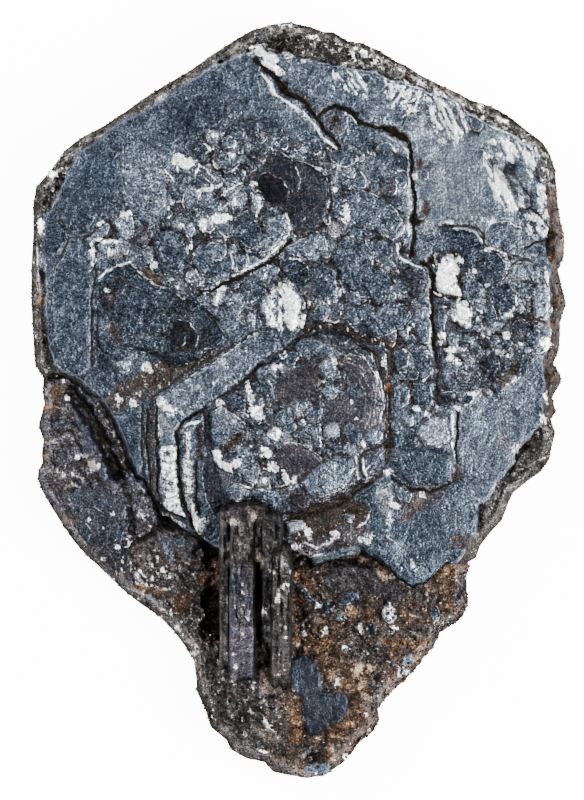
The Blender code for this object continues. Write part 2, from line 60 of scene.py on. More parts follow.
def ripple(x, y, size, seed):
    """Smooth noise from -1 to 1 with bumps about size units wide."""
    tile, shift_x, shift_y = 61, 97.3, 53.7
    table = np.random.default_rng(seed).uniform(-1, 1, (tile, tile))
    u, v = x / size + shift_x, y / size + shift_y
    i, j = np.floor(u).astype(int), np.floor(v).astype(int)
    s, t = u - i, v - j
    s, t = s * s * (3 - 2 * s), t * t * (3 - 2 * t)
    i, j, next_i, next_j = i % tile, j % tile, (i + 1) % tile, (j + 1) % tile
    near = table[i, j] * (1 - s) + table[next_i, j] * s
    return near * (1 - t) + (table[i, next_j] * (1 - s) + table[next_i, next_j] * s) * t


def ramp(value, start, width):
    """0 below the start, rising to 1 across the width; a negative width falls instead."""
    return np.clip((value - start) / width, 0, 1)


def away(line, x, y, closed=False):
    """Distance from each point to a line, and a sign that tells on which side of it the point is."""
    line = path(line)
    best, side = np.full(np.shape(x), 1e9), np.ones(np.shape(x))
    ends = line[1:] + line[:1] if closed else line[1:]
    for (ax, ay), (bx, by) in zip(line, ends):
        dx, dy = bx - ax, by - ay
        t = np.clip(((x - ax) * dx + (y - ay) * dy) / max(dx * dx + dy * dy, 1e-9), 0, 1)
        gap = (x - ax - t * dx) ** 2 + (y - ay - t * dy) ** 2
        side = np.where(gap < best, np.where(dx * (y - ay) < dy * (x - ax), -1.0, 1.0), side)
        best = np.minimum(best, gap)
    return np.sqrt(best), side


def depth(outline, x, y):
    """How far inside a closed outline each point lies, negative outside."""
    outline = path(outline)
    odd = np.zeros(np.shape(x), bool)
    for (ax, ay), (bx, by) in zip(outline, outline[1:] + outline[:1]):
        if ay != by:
            odd ^= ((ay > y) != (by > y)) & (x < ax + (y - ay) / (by - ay) * (bx - ax))
    d = away(outline, x, y, closed=True)[0]
    return np.where(odd, d, -d)


class Sheet:
    """
    A fine grid over one crystal, with its relief in millimetres and its paint: how pale (tone), how white
    with painted highlights and reflections (gleam), rusty (rust), dark with dirt and painted shade (crevice),
    dull (drab) and scaly it is. Fringe tells how near the brink of a growth layer is, and lit how bright the
    painted highlight on its rim is. Split is the distance to a crack, and cleft how dark that is or, where
    negative, how bright a painted highlight along it is.
    """

    PAINTS = "tone gleam rust crevice drab scaly fringe lit split cleft".split()
    FAR = 9.0

    def __init__(self, outline, pitch):
        outline = path(outline)
        xs, ys = zip(*outline)
        border = 2 * pitch
        self.x0, self.y0, self.pitch = min(xs) - border, min(ys) - border, pitch
        across = np.arange(self.x0, max(xs) + border, pitch)
        down = np.arange(self.y0, max(ys) + border, pitch)
        self.x, self.y = np.meshgrid(across, down)
        self.edge = depth(outline, self.x, self.y)
        self.keep = self.cells()
        self.snap(outline)
        ragged = 1.3
        self.wx, self.wy = (
            axis + ragged * ripple(self.x, self.y, 9, seed)
            + 0.5 * ragged * ripple(self.x, self.y, 4, seed + 1)
            for axis, seed in ((self.x, 1), (self.y, 3))
        )
        self.z = np.zeros(self.x.shape)
        self.paint = {name: np.zeros(self.x.shape) for name in self.PAINTS}
        self.gap = np.full(self.x.shape, self.FAR)

    def cells(self):
        """The grid cells inside the outline, all in one patch, with no two that meet only at a corner."""
        near = self.edge > -0.4 * self.pitch
        keep = near[:-1, :-1] & near[1:, :-1] & near[:-1, 1:] & near[1:, 1:]
        for _ in range(6):
            a, b, c, d = keep[:-1, :-1], keep[:-1, 1:], keep[1:, :-1], keep[1:, 1:]
            lone = (a & d & ~b & ~c) | (b & c & ~a & ~d)
            if not lone.any():
                break
            for cell in (a, b, c, d):
                cell[lone] = True
        linked, count = np.zeros(keep.shape, bool), 0
        middle = keep.shape[0] // 2
        linked[middle] = keep[middle]
        while linked.sum() > count:
            count = linked.sum()
            linked[1:] |= linked[:-1] & keep[1:]
            linked[:-1] |= linked[1:] & keep[:-1]
            linked[:, 1:] |= linked[:, :-1] & keep[:, 1:]
            linked[:, :-1] |= linked[:, 1:] & keep[:, :-1]
        return linked

    def snap(self, outline):
        """Moves the grid's border points onto the outline, but for the last twentieth of the way."""
        full = np.pad(self.keep, 1)
        around = full[:-1, :-1].astype(int) + full[1:, :-1] + full[:-1, 1:] + full[1:, 1:]
        rim = (around > 0) & (around < 4)
        x, y = self.x[rim], self.y[rim]
        best, to_x, to_y = np.full(x.shape, 1e9), x.copy(), y.copy()
        for (ax, ay), (bx, by) in zip(outline, outline[1:] + outline[:1]):
            dx, dy = bx - ax, by - ay
            t = np.clip(((x - ax) * dx + (y - ay) * dy) / (dx * dx + dy * dy), 0, 1)
            px, py = ax + t * dx, ay + t * dy
            d = np.hypot(x - px, y - py)
            nearer = d < best
            best[nearer], to_x[nearer], to_y[nearer] = d[nearer], px[nearer], py[nearer]
        self.x[rim], self.y[rim] = x + 0.95 * (to_x - x), y + 0.95 * (to_y - y)

    def window(self, points, margin):
        """The part of the grid round some points, as slices."""
        xs, ys = zip(*path(points))
        left, right = (min(xs) - margin - self.x0) / self.pitch, (max(xs) + margin - self.x0) / self.pitch
        top, foot = (min(ys) - margin - self.y0) / self.pitch, (max(ys) + margin - self.y0) / self.pitch
        rows = slice(max(0, int(top)), max(0, int(foot) + 2))
        return rows, slice(max(0, int(left)), max(0, int(right) + 2))

    def oval(self, x, y, reach, turn):
        """The part of the grid round one point, and the position on it as seen from there, turned."""
        at = self.window([(x - reach, y - reach), (x + reach, y + reach)], 0)
        u, v = self.wx[at] - x, self.wy[at] - y
        return at, u * math.cos(turn) + v * math.sin(turn), v * math.cos(turn) - u * math.sin(turn)

    def add(self, at, share, rise, **paint):
        """Raises part of the sheet and deepens its paint."""
        self.z[at] += rise * share
        for name, value in paint.items():
            self.paint[name][at] += value * share

    def field(self, outline, soft, rise=0.0, **paint):
        """Raises and paints all that lies inside an outline, with a soft edge that many units wide."""
        at = self.window(outline, 6)
        self.add(at, np.clip(depth(outline, self.wx[at], self.wy[at]) / soft, 0, 1), rise, **paint)

    def cover(self, at, share, rise, **paint):
        """Lays a clean flat new layer over part of the sheet, hiding the relief and the paint below it."""
        inside = share > 0.5
        if inside.sum() > 8:
            spots = np.stack([self.x[at], self.y[at], np.ones(share.shape)], axis=-1)
            slope = np.linalg.lstsq(spots[inside], self.z[at][inside], rcond=None)[0]
            self.z[at] += 0.8 * share * (spots @ slope - self.z[at])
        self.gap[at] = np.where(inside, self.FAR, self.gap[at])
        self.z[at] += rise * share
        clean = dict.fromkeys(("gleam", "rust", "crevice", "drab", "cleft"), 0.0)
        for name, value in {**clean, **paint}.items():
            self.paint[name][at] += (value - self.paint[name][at]) * share

    def ridge(self, at, inward, width, rim, facing, seam):
        """The brink of a layer: a broken painted highlight where it faces a given way, and a dark seam below
        it, partly painted shadow, darker where the brink faces away.
        """
        foot, top = -1.8, 5
        down, across = np.gradient(inward)
        steep = np.hypot(down, across) + 1e-6
        lit = np.clip(0.25 - (across * math.cos(facing) + down * math.sin(facing)) / steep, 0, 1)
        x, y = self.x[at], self.y[at]
        broken = np.clip(0.6 + 1.1 * ripple(x, y, 6, 6) + 0.6 * ripple(x, y, 3, 7), 0, 1.5)
        gapped = np.clip(0.7 + 1.2 * ripple(x, y, 9, 21) + 0.5 * ripple(x, y, 4, 22), 0, 1.3)
        crest = np.clip(1.2 - np.abs(inward - 0.45 * width) / 1.2, 0, 1)
        self.add(at, crest * lit * broken, 0, gleam=rim, tone=0.3 * rim)
        gutter = np.clip(1.1 - np.abs(inward + 1.3) / 1.3, 0, 1)
        self.add(at, gutter * (1.15 - 0.7 * lit) * gapped, 0, crevice=seam, tone=-seam)
        near = inward > foot
        self.paint["fringe"][at] = np.where(near, top - np.clip(inward, foot, top), self.paint["fringe"][at])
        shine = (inward < top - 0.1) * (min(0.2, 1.3 * rim) + lit * (0.4 + rim) * min(1, 4 * rim))
        self.paint["lit"][at] = np.where(near, shine, self.paint["lit"][at])

    def plate(self, outline, rise, bevel, rim, tone, facing=0.6, seam=0.35, steps=0, **paint):
        """A flat growth layer over what lies below; steps carves thin growth lines round its top."""
        at = self.window(outline, 6)
        inward = depth(outline, self.wx[at], self.wy[at])
        self.cover(at, np.clip(inward / bevel, 0, 1), rise, tone=tone, **paint)
        self.ridge(at, inward, bevel, rim, facing, seam)
        if steps:
            wave = inward + 2.0 * ripple(self.x[at], self.y[at], 14, 5)
            line = np.clip(1 - np.abs((wave % steps) - 0.5 * steps) / 1.1, 0, 1) * (inward > bevel)
            faint = np.clip(0.6 + ripple(self.x[at], self.y[at], 20, 8), 0, 1)
            self.add(at, line * faint, -0.02, gleam=0.28, tone=0.12)
            self.add(at, np.floor(np.clip(wave / steps, 0, 6)) * (inward > bevel), 0.03)

    def lobe(self, x, y, across, down, rise, rim, tone, turn=0.0, **paint):
        """One rounded growth layer."""
        corners, count = [], 11
        for i in range(count):
            angle = i * math.tau / count
            swell = 1 + 0.08 * math.sin(2.3 * i + x)
            u, v = across * swell * math.cos(angle), down * swell * math.sin(angle)
            right, below = u * math.cos(turn) - v * math.sin(turn), u * math.sin(turn) + v * math.cos(turn)
            corners.append((x + right, y + below))
        self.plate(corners, rise, min(3.0, 0.5 * min(across, down)), rim, tone, **paint)

    def crack(self, line, deep, width=5.0, **paint):
        """A crack or step line; a negative depth makes a raised strip. A thin one gets a crisp line too:
        dark, or where it is painted bright a painted highlight.
        """
        at = self.window(line, width + 4)
        x, y = self.x[at], self.y[at]
        uneven = 1 + 0.35 * ripple(x, y, 7, 9) + 0.2 * ripple(x, y, 3, 10)
        gap, side = away(line, self.wx[at], self.wy[at])
        amount = paint.get("crevice", 0) - paint.get("gleam", 0)
        if width < 5.5 and abs(amount) > 0.25:
            nearer = gap < self.gap[at]
            self.gap[at] = np.where(nearer, gap, self.gap[at])
            self.paint["split"][at] = np.where(nearer, np.minimum(gap, 5) * side, self.paint["split"][at])
            fading = np.clip(amount, -1.2, 1.8) * np.clip((0.35 * width + 2.2 - gap) / 1.2, 0, 1)
            if amount < 0:
                fading *= np.clip(0.75 + 0.9 * ripple(x, y, 8, 23) + 0.5 * ripple(x, y, 3.5, 24), 0, 1)
            self.paint["cleft"][at] = np.where(nearer, fading, self.paint["cleft"][at])
            paint = {**paint, "crevice": 0.35 * paint.get("crevice", 0), "gleam": 0.5 * paint.get("gleam", 0)}
            width, deep = 0.8 * width, 0.6 * deep
        share = np.clip(1.25 - gap / (0.5 * width * uneven), 0, 1)
        self.add(at, share, -deep, **paint)

    def dab(self, x, y, across, down, turn=0.0, hard=3.0, rise=0.0, **paint):
        """An oval patch with a soft ragged edge, hard units wide."""
        at, u, v = self.oval(x, y, 1.3 * max(across, down) + hard + 3, turn)
        reach = np.sqrt((u / across) ** 2 + (v / down) ** 2)
        bright = paint.get("gleam", 0) > 0.4
        hard = 0.6 * hard if bright else hard
        reach += 0.42 * ripple(self.x[at], self.y[at], 0.5 * min(across, down) + 1.5, 32)
        reach += 0.26 * ripple(self.x[at], self.y[at], 2.6, 33)
        self.add(at, np.clip((1 - reach) * min(across, down) / hard + 0.5, 0, 1), rise, **paint)
        # A bright painted highlight gets a paler painted halo round it.
        if bright:
            self.add(at, np.clip(1.7 - reach, 0, 1), 0, tone=0.18)

    def streaks(self, outline, turn, seed, deep=0.05, thick=2.2, full=0.0, **paint):
        """Fine parallel streaks inside an outline, running along the turn given; full makes them broader."""
        at = self.window(outline, 4)
        u = self.x[at] * math.cos(turn) + self.y[at] * math.sin(turn)
        v = self.y[at] * math.cos(turn) - self.x[at] * math.sin(turn)
        wave = ripple(u / 9, v / thick, 1, seed) + 0.5 * ripple(u / 4, v / (0.6 * thick), 1, seed + 1)
        share = np.clip(depth(outline, self.wx[at], self.wy[at]) / 5, 0, 1)
        self.add(at, share * np.clip(wave + full, -0.3, 1), deep, **paint)

    def crumbs(self, outline, seed, size=3.0, rise=0.06, **paint):
        """Granular ground inside an outline: small bumps, the highest of them painted."""
        at = self.window(outline, 4)
        x, y = self.x[at], self.y[at]
        wave = ripple(x, y, size, seed) + 0.4 * ripple(x, y, 2.0, seed + 1)
        share = np.clip(depth(outline, self.wx[at], self.wy[at]) / 6, 0, 1)
        self.add(at, share * wave, rise)
        self.add(at, share * np.clip(1.8 * (wave - 0.15), 0, 1), 0, **paint)

    def lobes(self, outline, gap, least, most, rise, seed, dark, pale, rim):
        """A field of overlapping rounded growth layers, most of them dark, with broken painted highlights on
        their rims.
        """
        dice, bevel = np.random.default_rng(seed), 1.8
        xs, ys = zip(*path(outline))
        tries = dice.uniform((min(xs), min(ys)), (max(xs), max(ys)), (1500, 2))
        inner = depth(outline, tries[:, 0], tries[:, 1]) > 0.3 * most
        picked = []
        for x, y in tries[inner]:
            if all(math.hypot(x - a, y - b) > gap for a, b in picked):
                picked.append((x, y))
        for x, y in picked:
            size, slant, turn = dice.uniform(least, most), dice.uniform(0.75, 1.3), dice.uniform(0, math.pi)
            at, u, v = self.oval(x, y, size * 1.6 + 5, turn)
            swell = 1 + 0.1 * np.sin(3 * np.arctan2(v, u) + turn)
            inward = size - np.sqrt((u * slant) ** 2 + (v / slant) ** 2) * swell
            tone = dark + (pale - dark) * dice.uniform() ** 1.4
            lift, drab = rise * dice.uniform(0.3, 1), 0.7 * dice.uniform() ** 2
            self.cover(at, np.clip(inward / bevel, 0, 1), lift, tone=tone, drab=drab)
            self.z[at] += 0.05 * rise * (u * dice.uniform(-1, 1) + v * dice.uniform(-1, 1)) * (inward > 0)
            self.ridge(at, inward, bevel, rim * dice.uniform(0.2, 1.6), 0.6 + dice.uniform(-1, 1), 0.5)


TABLET = path("270,25 288,22 310,27 324,32 333,32 347,41 362,43 380,51 395,61 410,68 420,75 440,85 460,94 "
    "470,100 490,106 507,115 530,133 543,143 550,155 555,170 557,197 560,220 564,235 564,256 558,270 561,284 "
    "566,303 560,322 559,350 553,364 560,374 561,381 552,398 556,412 550,420 555,432 549,460 540,472 525,483 "
    "513,493 508,504 502,520 490,533 480,546 476,558 465,564 455,570 447,560 437,570 425,585 412,588 400,580 "
    "380,562 355,555 330,560 312,566 300,556 288,560 255,556 220,556 200,546 180,534 163,519 150,503 141,484 "
    "133,482 126,462 118,441 108,419 95,401 80,388 62,379 43,377 35,366 33,340 31,300 31,268 33,235 33,204 "
    "36,187 50,171 64,151 79,139 105,125 126,111 147,96 170,82 192,69 213,54 235,40 250,31")
FACE = path("76,154 89,146 100,138 112,129 121,121 144,111 156,102 167,95 180,87 200,74 217,63 230,60 245,52 "
    "270,55 290,52 300,57 320,62 340,67 355,68 370,70 390,80 400,80 410,85 430,92 450,98 458,103 470,113 "
    "480,118 497,127 512,133 530,148 541,160 546,185 549,225 546,245 550,270 550,300 549,330 547,350 543,362 "
    "546,385 543,400 545,417 530,440 518,450 514,464 497,485 490,500 480,505 478,530 470,545 455,564 447,555 "
    "437,566 425,581 412,584 400,576 380,558 355,551 330,557 312,563 300,552 255,554 220,554 202,544 182,531 "
    "165,516 153,500 145,484 136,478 128,460 120,440 110,418 96,399 80,385 62,372 54,366 48,345 45,300 "
    "44,250 49,212 60,188 70,170")

main = Sheet(TABLET, 1.71)
x, y = main.x, main.y
main.z += 6.6 + 1.7 * np.clip(main.edge / 9, 0, 1)
main.z += 0.12 * ripple(x, y, 30, 11) + 0.05 * ripple(x, y, 11, 12) + 0.02 * ripple(x, y, 5, 13)

# The rough shoulder round the face: dull, granular, striated along the edge, browner down the right side,
# with painted shadows in its grooves and painted sparkling highlights.
in_face = np.clip(depth(FACE, main.wx, main.wy) / 3.0, 0, 1)
shoulder = 1 - in_face
right_side = ramp(x, 535, 10) * ramp(y, 175, 20) * ramp(y, 430, -20)
upper_left = np.clip((250 - x - 0.5 * y) / 20 + 1.5, 0, 1)
main.z += 1.15 * in_face
lower_right = ramp(y, 425, 20)
lumps = (0.40 * ripple(x, y, 8, 14) + 0.34 * ripple(x, y, 4, 15)) * (1 - 0.5 * lower_right)
main.z += shoulder * lumps * np.clip(main.edge / 3, 0, 1) * (1 - 0.7 * right_side) * (1 - 0.5 * upper_left)
grooves = ripple(main.edge / 2.6, (x + y) / 30, 1, 16)
main.z += shoulder * 0.10 * grooves
main.paint["drab"] += shoulder
shadows = np.clip(0.12 - 0.5 * ripple(x, y, 5, 17) - 0.25 * grooves + 0.3 * right_side, 0, 0.7)
main.paint["crevice"] += shoulder * shadows * (1 - 0.6 * lower_right)
main.paint["rust"] += shoulder * (0.02 + 0.45 * right_side)
front = ramp(y, 532, 8) * ramp(x, 285, 10) * ramp(x, 450, -10)
# Painted shade along the outer edge, less at the lower right and none along the front.
main.paint["crevice"] += 0.8 * np.clip(1 - main.edge / 6, 0, 1) * (1 - 0.5 * lower_right) * (1 - front)
main.z += 0.9 * np.clip(1 - main.edge / 9, 0, 1) * front
mottle = (0.25 * grooves + 0.7 * ripple(x, y, 4.5, 18)) * (1 - 0.6 * lower_right)
upper_right = ramp(x, 400, 60) * ramp(y, 210, -30)
darker = -0.15 * upper_left - 1.05 * right_side - 0.55 * lower_right - 0.3 * upper_right
main.paint["tone"] += shoulder * (darker + mottle)
main.paint["scaly"] += shoulder * 0.6
sparks = np.clip(2.2 * ripple(x, y, 4, 19) - 1.0, 0, 0.9)
main.paint["gleam"] += shoulder * (1 - upper_left) * (1 - right_side) * sparks * (1 - lower_right)
main.paint["scaly"] += 0.40 * in_face
main.paint["tone"] += in_face * (-0.12 + 0.10 * ripple(x, y, 45, 18) + 0.12 * ripple(x, y, 16, 19))

# Broad tones of the face: palest at the upper right, a painted sheen where the face turns toward the light,
# dark in the middle and at the left.
for x, y, across, down, turn, hard, tone in (
    (470, 170, 68, 75, 0, 26, 0.85), (400, 95, 75, 34, 0.35, 20, 0.45), (500, 450, 55, 70, 0.3, 26, 0.5),
    (505, 360, 34, 40, 0, 18, 0.35), (425, 520, 65, 50, -0.3, 26, 0.15), (250, 110, 90, 45, -0.2, 26, 0.15),
    (300, 90, 50, 40, 0, 30, 0.2), (525, 270, 26, 60, 0, 14, 0.45), (365, 180, 45, 50, 0, 20, 0.28),
    (140, 182, 24, 38, 0.2, 12, 0.35), (215, 100, 60, 22, -0.5, 14, -0.1), (74, 300, 18, 60, 0, 12, 0.15),
):
    main.dab(x, y, across, down, turn, hard, tone=tone)

# Where the growth layers are small and scaly, and where the face is plain.
main.dab(450, 165, 62, 66, 0, 20, scaly=-0.55)
main.dab(500, 450, 50, 60, 0, 16, scaly=-0.2)
main.dab(425, 530, 50, 30, 0, 12, scaly=-0.2)
main.dab(380, 90, 60, 26, 0.3, 12, scaly=-0.15)
for outline in (
    "140,150 250,120 345,150 405,140 410,250 432,262 432,400 390,400 392,345 330,318 256,330 200,345 100,370 "
    "90,250",
    "440,225 505,240 545,285 545,350 500,395 440,410",
    "215,410 262,372 312,338 372,356 384,400 380,440 320,496 230,505",
):
    main.field(outline, 12, scaly=0.4)

# Granular ground that shows between the plates, with painted highlights on its crumbs, and fields of small
# overlapping layers on it.
GROUND = [
    ("98,205 160,200 200,150 260,135 300,240 250,330 200,300 140,262 100,262", 0.3),
    ("300,140 340,150 345,250 440,240 445,410 395,420 390,345 290,340 300,250", 0.3),
    ("440,235 520,250 548,320 545,345 505,395 440,415", 0.5),
    ("96,395 150,360 215,345 252,330 256,338 150,402 110,420", 0.9),
    ("285,530 345,495 372,500 368,535 345,560 290,560", 0.8),
    ("392,480 455,480 450,500 410,520 392,515", 0.7),
]
for seed, (outline, amount) in enumerate(GROUND):
    main.field(outline, 8, -0.05, drab=amount, crevice=0.22 * amount, tone=-0.1)
    main.crumbs(outline, 200 + 2 * seed, gleam=0.45 * amount, tone=0.12)

main.lobes("150,170 200,140 250,120 345,150 405,140 408,250 430,262 432,400 395,400 392,345 330,318 256,330 "
    "215,300 150,262 110,222", 9.5, 5, 12, 0.16, 221, -0.42, 0.5, 0.6)
main.lobes("440,228 505,244 545,285 545,345 500,392 440,408", 10, 5, 12, 0.16, 223, -0.45, 0.4, 0.55)

# Upper left: wide low plates with worn edges, and the seam that parts them from the left edge.
main.plate("122,150 140,141 156,150 166,172 171,200 165,219 152,229 138,222 127,205 119,180", 0.12, 4, 0.1,
    0.22)
main.plate("84,160 100,148 118,152 124,185 116,208 98,212 84,196 78,176", 0.08, 4, 0.08, -0.22)
main.plate("170,128 176,104 200,92 224,98 226,120 204,136 184,140", 0.08, 4, 0.12, -0.4)
main.plate("225,110 232,102 240,104 243,114 236,120 227,118", 0.08, 3, 0.2, -0.05)
main.plate("245,128 251,121 258,124 258,134 250,137", 0.06, 3, 0.25, -0.55)
main.plate("58,206 72,196 92,200 100,212 92,226 72,236 64,222", 0.08, 3, 0.12, -0.3)
main.plate("44,214 58,208 64,224 67,240 60,253 50,262 43,280 41,245", 0.1, 3, 0.2, -0.62)
main.plate("70,241 84,238 92,250 93,275 91,300 92,330 92,368 80,378 66,370 56,345 54,310 53,285 57,264 "
    "66,256", 0.12, 3, 0.15, -0.12, 2.6)
main.plate("85,240 92,230 106,221 112,226 108,235 98,243 89,247", 0.16, 3, 0.6, 0.35, -0.8)
main.plate("116,222 123,216 130,211 134,222 136,236 128,241 117,237", 0.16, 3, 0.5, 0.55, -0.6)
main.plate("100,241 118,237 132,244 128,256 112,262 99,260", 0.1, 3, 0.2, 0.3, gleam=0.2)
for line in ("86,239 96,230 110,222 115,231 108,238 98,246", "97,246 95,262 97,278 92,300 93,366"):
    main.crack(line, 0.22, 3.4, crevice=0.9, rust=0.35, drab=0.5)
main.crack("70,240 66,249 62,258", 0.15, 4, rust=0.35, crevice=0.8)
# White spots of painted highlight.
for x, y, across, down in (
    (103, 224, 5, 3), (127, 215, 5, 4), (107, 242, 9, 3), (93, 251, 3, 6), (112, 252, 5, 3),
    (153, 266, 4, 6), (94, 262, 3, 4), (170, 280, 3, 2), (178, 286, 2, 3), (172, 205, 2, 3),
    (169, 210, 2, 2),
):
    main.dab(x, y, across, down, hard=3, rise=0.05, gleam=1.0, crevice=-0.3)
main.plate("157,233 166,228 176,229 184,240 188,256 186,269 176,276 164,272 157,262 154,246", 0.22, 3, 0.25,
    -0.28)

# Left hillock: a low dark mound ringed with thin growth lines, with painted highlights along its upper edge.
main.plate("98,284 106,274 118,267 132,263 142,272 156,284 172,289 188,298 206,306 220,318 226,338 214,350 "
    "196,362 170,366 150,352 132,352 118,372 104,372 97,345 96,315", 0.45, 5, 0.2, -0.62, -1.9, 0.35, 9)
for line, amount in (
    ("101,279 108,272 117,268", 0.9), ("120,266 130,262 136,268", 1.3), ("138,272 148,279 155,285", 1.1),
    ("160,287 172,291 184,299", 0.5),
):
    main.crack(line, -0.10, 5, gleam=amount)
main.plate("110,290 114,278 124,275 128,284 122,296", 0.08, 2.5, 0.2, -0.8, drab=0.5)
main.plate("168,330 176,320 190,320 199,334 196,350 182,352 170,344", 0.12, 3, 0.4, -1.15, -0.2, drab=0.7,
    scaly=0.1)
main.plate("198,330 206,312 218,320 224,338 214,349 202,350", 0.14, 3, 0.35, -1.0, 0.8, drab=0.4)
main.plate("176,335 184,332 188,342 181,347", 0.06, 2.5, 0.3, -0.9)
main.plate("130,345 140,332 166,338 158,350 140,356", 0.08, 3, 0.15, -0.2)
main.plate("146,322 160,312 172,318 168,332 150,334", 0.08, 3, 0.15, -0.6)
main.plate("168,356 180,350 197,352 196,364 176,368", 0.06, 3, 0.15, -0.6)
main.plate("166,306 174,298 190,302 198,314 184,318 172,316", 0.06, 3, 0.15, -0.9, drab=0.4)
main.plate("99,312 110,318 112,338 104,350 98,342", 0.06, 3, 0.15, -0.1)
main.lobe(199, 354, 4, 5, 0.1, 0.2, 0.35)
main.lobe(125, 366, 7, 8, 0.16, 0.3, 0.45)
main.dab(110, 299, 8, 10, 0, 5, tone=-0.2, rust=0.12, drab=0.8)
main.dab(111, 298, 3, 3, tone=0.9, rust=0.5)
main.dab(141, 321, 2.5, 4, tone=0.8, rust=0.3)
main.dab(115, 335, 12, 14, 0, 8, rust=0.15, drab=0.6)
# White spots of painted highlight.
for x, y, across, down in ((148, 366, 5, 6), (134, 404, 4, 4), (119, 399, 4, 5), (108, 292, 3, 2)):
    main.dab(x, y, across, down, hard=3, gleam=1.0, crevice=-0.3)
main.dab(150, 381, 17, 8, -0.2, 6, rust=0.3, crevice=0.35)
main.dab(166, 368, 5, 8, 0, 4, rust=0.3, crevice=0.3)
main.dab(152, 278, 12, 5, 0.5, rust=0.3, crevice=0.6)
main.dab(122, 257, 9, 4, 0, 4, rust=0.3, crevice=0.5)
main.crack("139,263 150,273 170,281 190,290 203,296", 0.15, rust=0.25, crevice=0.45, drab=0.4)

# Central hillock: a pale flank at upper left streaked with painted highlights, a six-sided plateau with dark
# grooves, and a ringed dome whose rings are painted highlights.
main.plate("158,400 172,390 186,378 204,366 222,356 240,343 256,332 270,338 282,340 276,352 258,366 240,382 "
    "222,396 206,408 186,420 178,432 176,470 180,500 190,520 172,516 160,504 158,470 159,430", 0.3, 2.5, 0.45,
    0.3, -2.1)
main.streaks("158,400 204,366 256,332 282,340 240,382 206,408 178,432 160,430", -0.62, 231, 0.03, 3.4,
    tone=0.35, gleam=0.5)
main.plate("312,331 290,347 264,366 242,384 214,402 206,412 208,440 214,470 222,500 240,522 292,514 320,503 "
    "342,495 370,475 386,448 388,430 388,400 384,380 376,356 362,345 340,332", 0.45, 3.5, 0.3, -0.25, 0.0,
    drab=0.45)
main.lobes("215,412 262,374 312,340 370,358 382,400 378,440 318,494 235,504", 10.5, 5, 13, 0.16, 225, -0.5,
    0.2, 0.4)
main.plate("270,385 290,368 318,362 322,392 322,408 300,402 276,412 266,402", 0.1, 3, 0.1, -0.5, drab=0.75,
    scaly=0.15)
main.plate("322,398 340,392 366,396 382,404 383,430 372,446 350,448 326,424", 0.12, 4, 0.1, -0.35, steps=6,
    drab=0.65, scaly=0.15)
main.plate("338,362 350,352 366,358 376,376 382,400 366,398 350,384", 0.12, 3, 0.4, -0.25, -0.4, drab=0.7,
    scaly=0.2)
main.lobe(327, 370, 10, 12, 0.16, 0.15, 0.5, drab=0.2)
main.lobe(329, 391, 10, 9, 0.14, 0.15, 0.28, drab=0.3)
main.lobe(332, 431, 10, 9, 0.16, 0.2, 0.42, drab=0.1)
main.lobe(373, 436, 12, 8, 0.14, 0.3, 0.1, -0.4)
main.lobe(352, 434, 9, 12, 0.12, 0.3, -0.25, -0.5)
main.plate("311,425 320,422 322,446 314,448 310,438", 0.1, 2.5, 0.5, -0.15, 0.1)
main.plate("272,460 276,448 290,440 306,444 320,456 326,470 312,482 290,484 276,476", 0.2, 3, 0.45, -0.45,
    -0.9, 0.35, 6, drab=0.75, scaly=0.15)
main.plate("300,484 312,470 330,456 352,456 356,470 346,486 322,498 306,494", 0.16, 3, 0.25, 0.05)
main.plate("318,476 334,464 352,458 354,470 342,484 324,492", 0.06, 3, 0.2, 0.28)
main.plate("288,493 296,486 308,490 312,500 304,511 293,508", 0.08, 3, 0.1, -0.55, drab=0.8)
main.plate("209,412 222,406 236,414 249,425 240,434 228,446 214,450 209,432", 0.2, 3, 0.3, 0.25, -1.2)
main.dab(223, 424, 5, 4, tone=0.3, rust=0.15, drab=0.5)
main.dab(236, 441, 9, 5, -0.4, 4, crevice=0.6, drab=0.8)
main.plate("226,402 236,394 246,400 247,412 236,410", 0.1, 2.5, 0.3, -0.6)
main.plate("252,384 264,378 274,386 275,400 262,398 254,392", 0.12, 2.5, 0.4, -0.45, 0)
main.plate("236,452 246,444 256,452 262,470 254,486 242,480 236,466", 0.12, 3, 0.2, 0.05)
main.plate("226,490 236,482 250,486 250,498 240,504 230,502", 0.2, 3, 0.6, 0.4, -1.6)
main.plate("250,490 262,488 278,490 282,500 272,508 256,504", 0.12, 3, 0.35, 0.0, -1.4)
main.plate("275,412 290,408 296,418 284,428 274,422", 0.08, 3, 0.2, -0.2)
# White spots of painted highlight.
for x, y, across, down in (
    (220, 403, 6, 4), (248, 388, 4, 9), (250, 398, 5, 6), (257, 411, 9, 8), (275, 434, 7, 7),
    (266, 453, 5, 7), (277, 366, 6, 4), (283, 355, 5, 4), (286, 476, 5, 8), (273, 468, 6, 8),
    (292, 480, 4, 5), (238, 503, 3, 3), (303, 421, 2, 4), (333, 362, 3, 6), (376, 374, 3, 4),
    (363, 444, 3, 4), (352, 402, 2, 3), (355, 419, 2, 2), (323, 381, 3, 3), (384, 362, 3, 7),
    (266, 480, 4, 4),
):
    main.dab(x, y, 0.8 * across, 0.8 * down, hard=2, rise=0.05, gleam=1.15, crevice=-0.4, drab=-0.3)
main.crack("217,453 219,462 227,467 236,463 237,460", -0.12, 8, gleam=1.5)
main.dab(228, 456, 4, 5, 0, 2, tone=-0.4, gleam=-0.9)
for radius, amount in ((34, 0.35), (40, 0.4), (44, 0.35), (47, 0.3), (52, 0.55), (56, 0.25)):
    first = -14 if radius < 46 else -11
    angles = [step / 10 for step in range(first, 8, 2)]
    arc = [(331 + radius * math.cos(t), 402 + 1.12 * radius * math.sin(t)) for t in angles]
    main.crack(arc, -0.05, 2.0, gleam=amount, tone=0.2)
main.crack("330,352 345,355 358,364 366,378", -0.05, 3, tone=0.2, gleam=0.4)
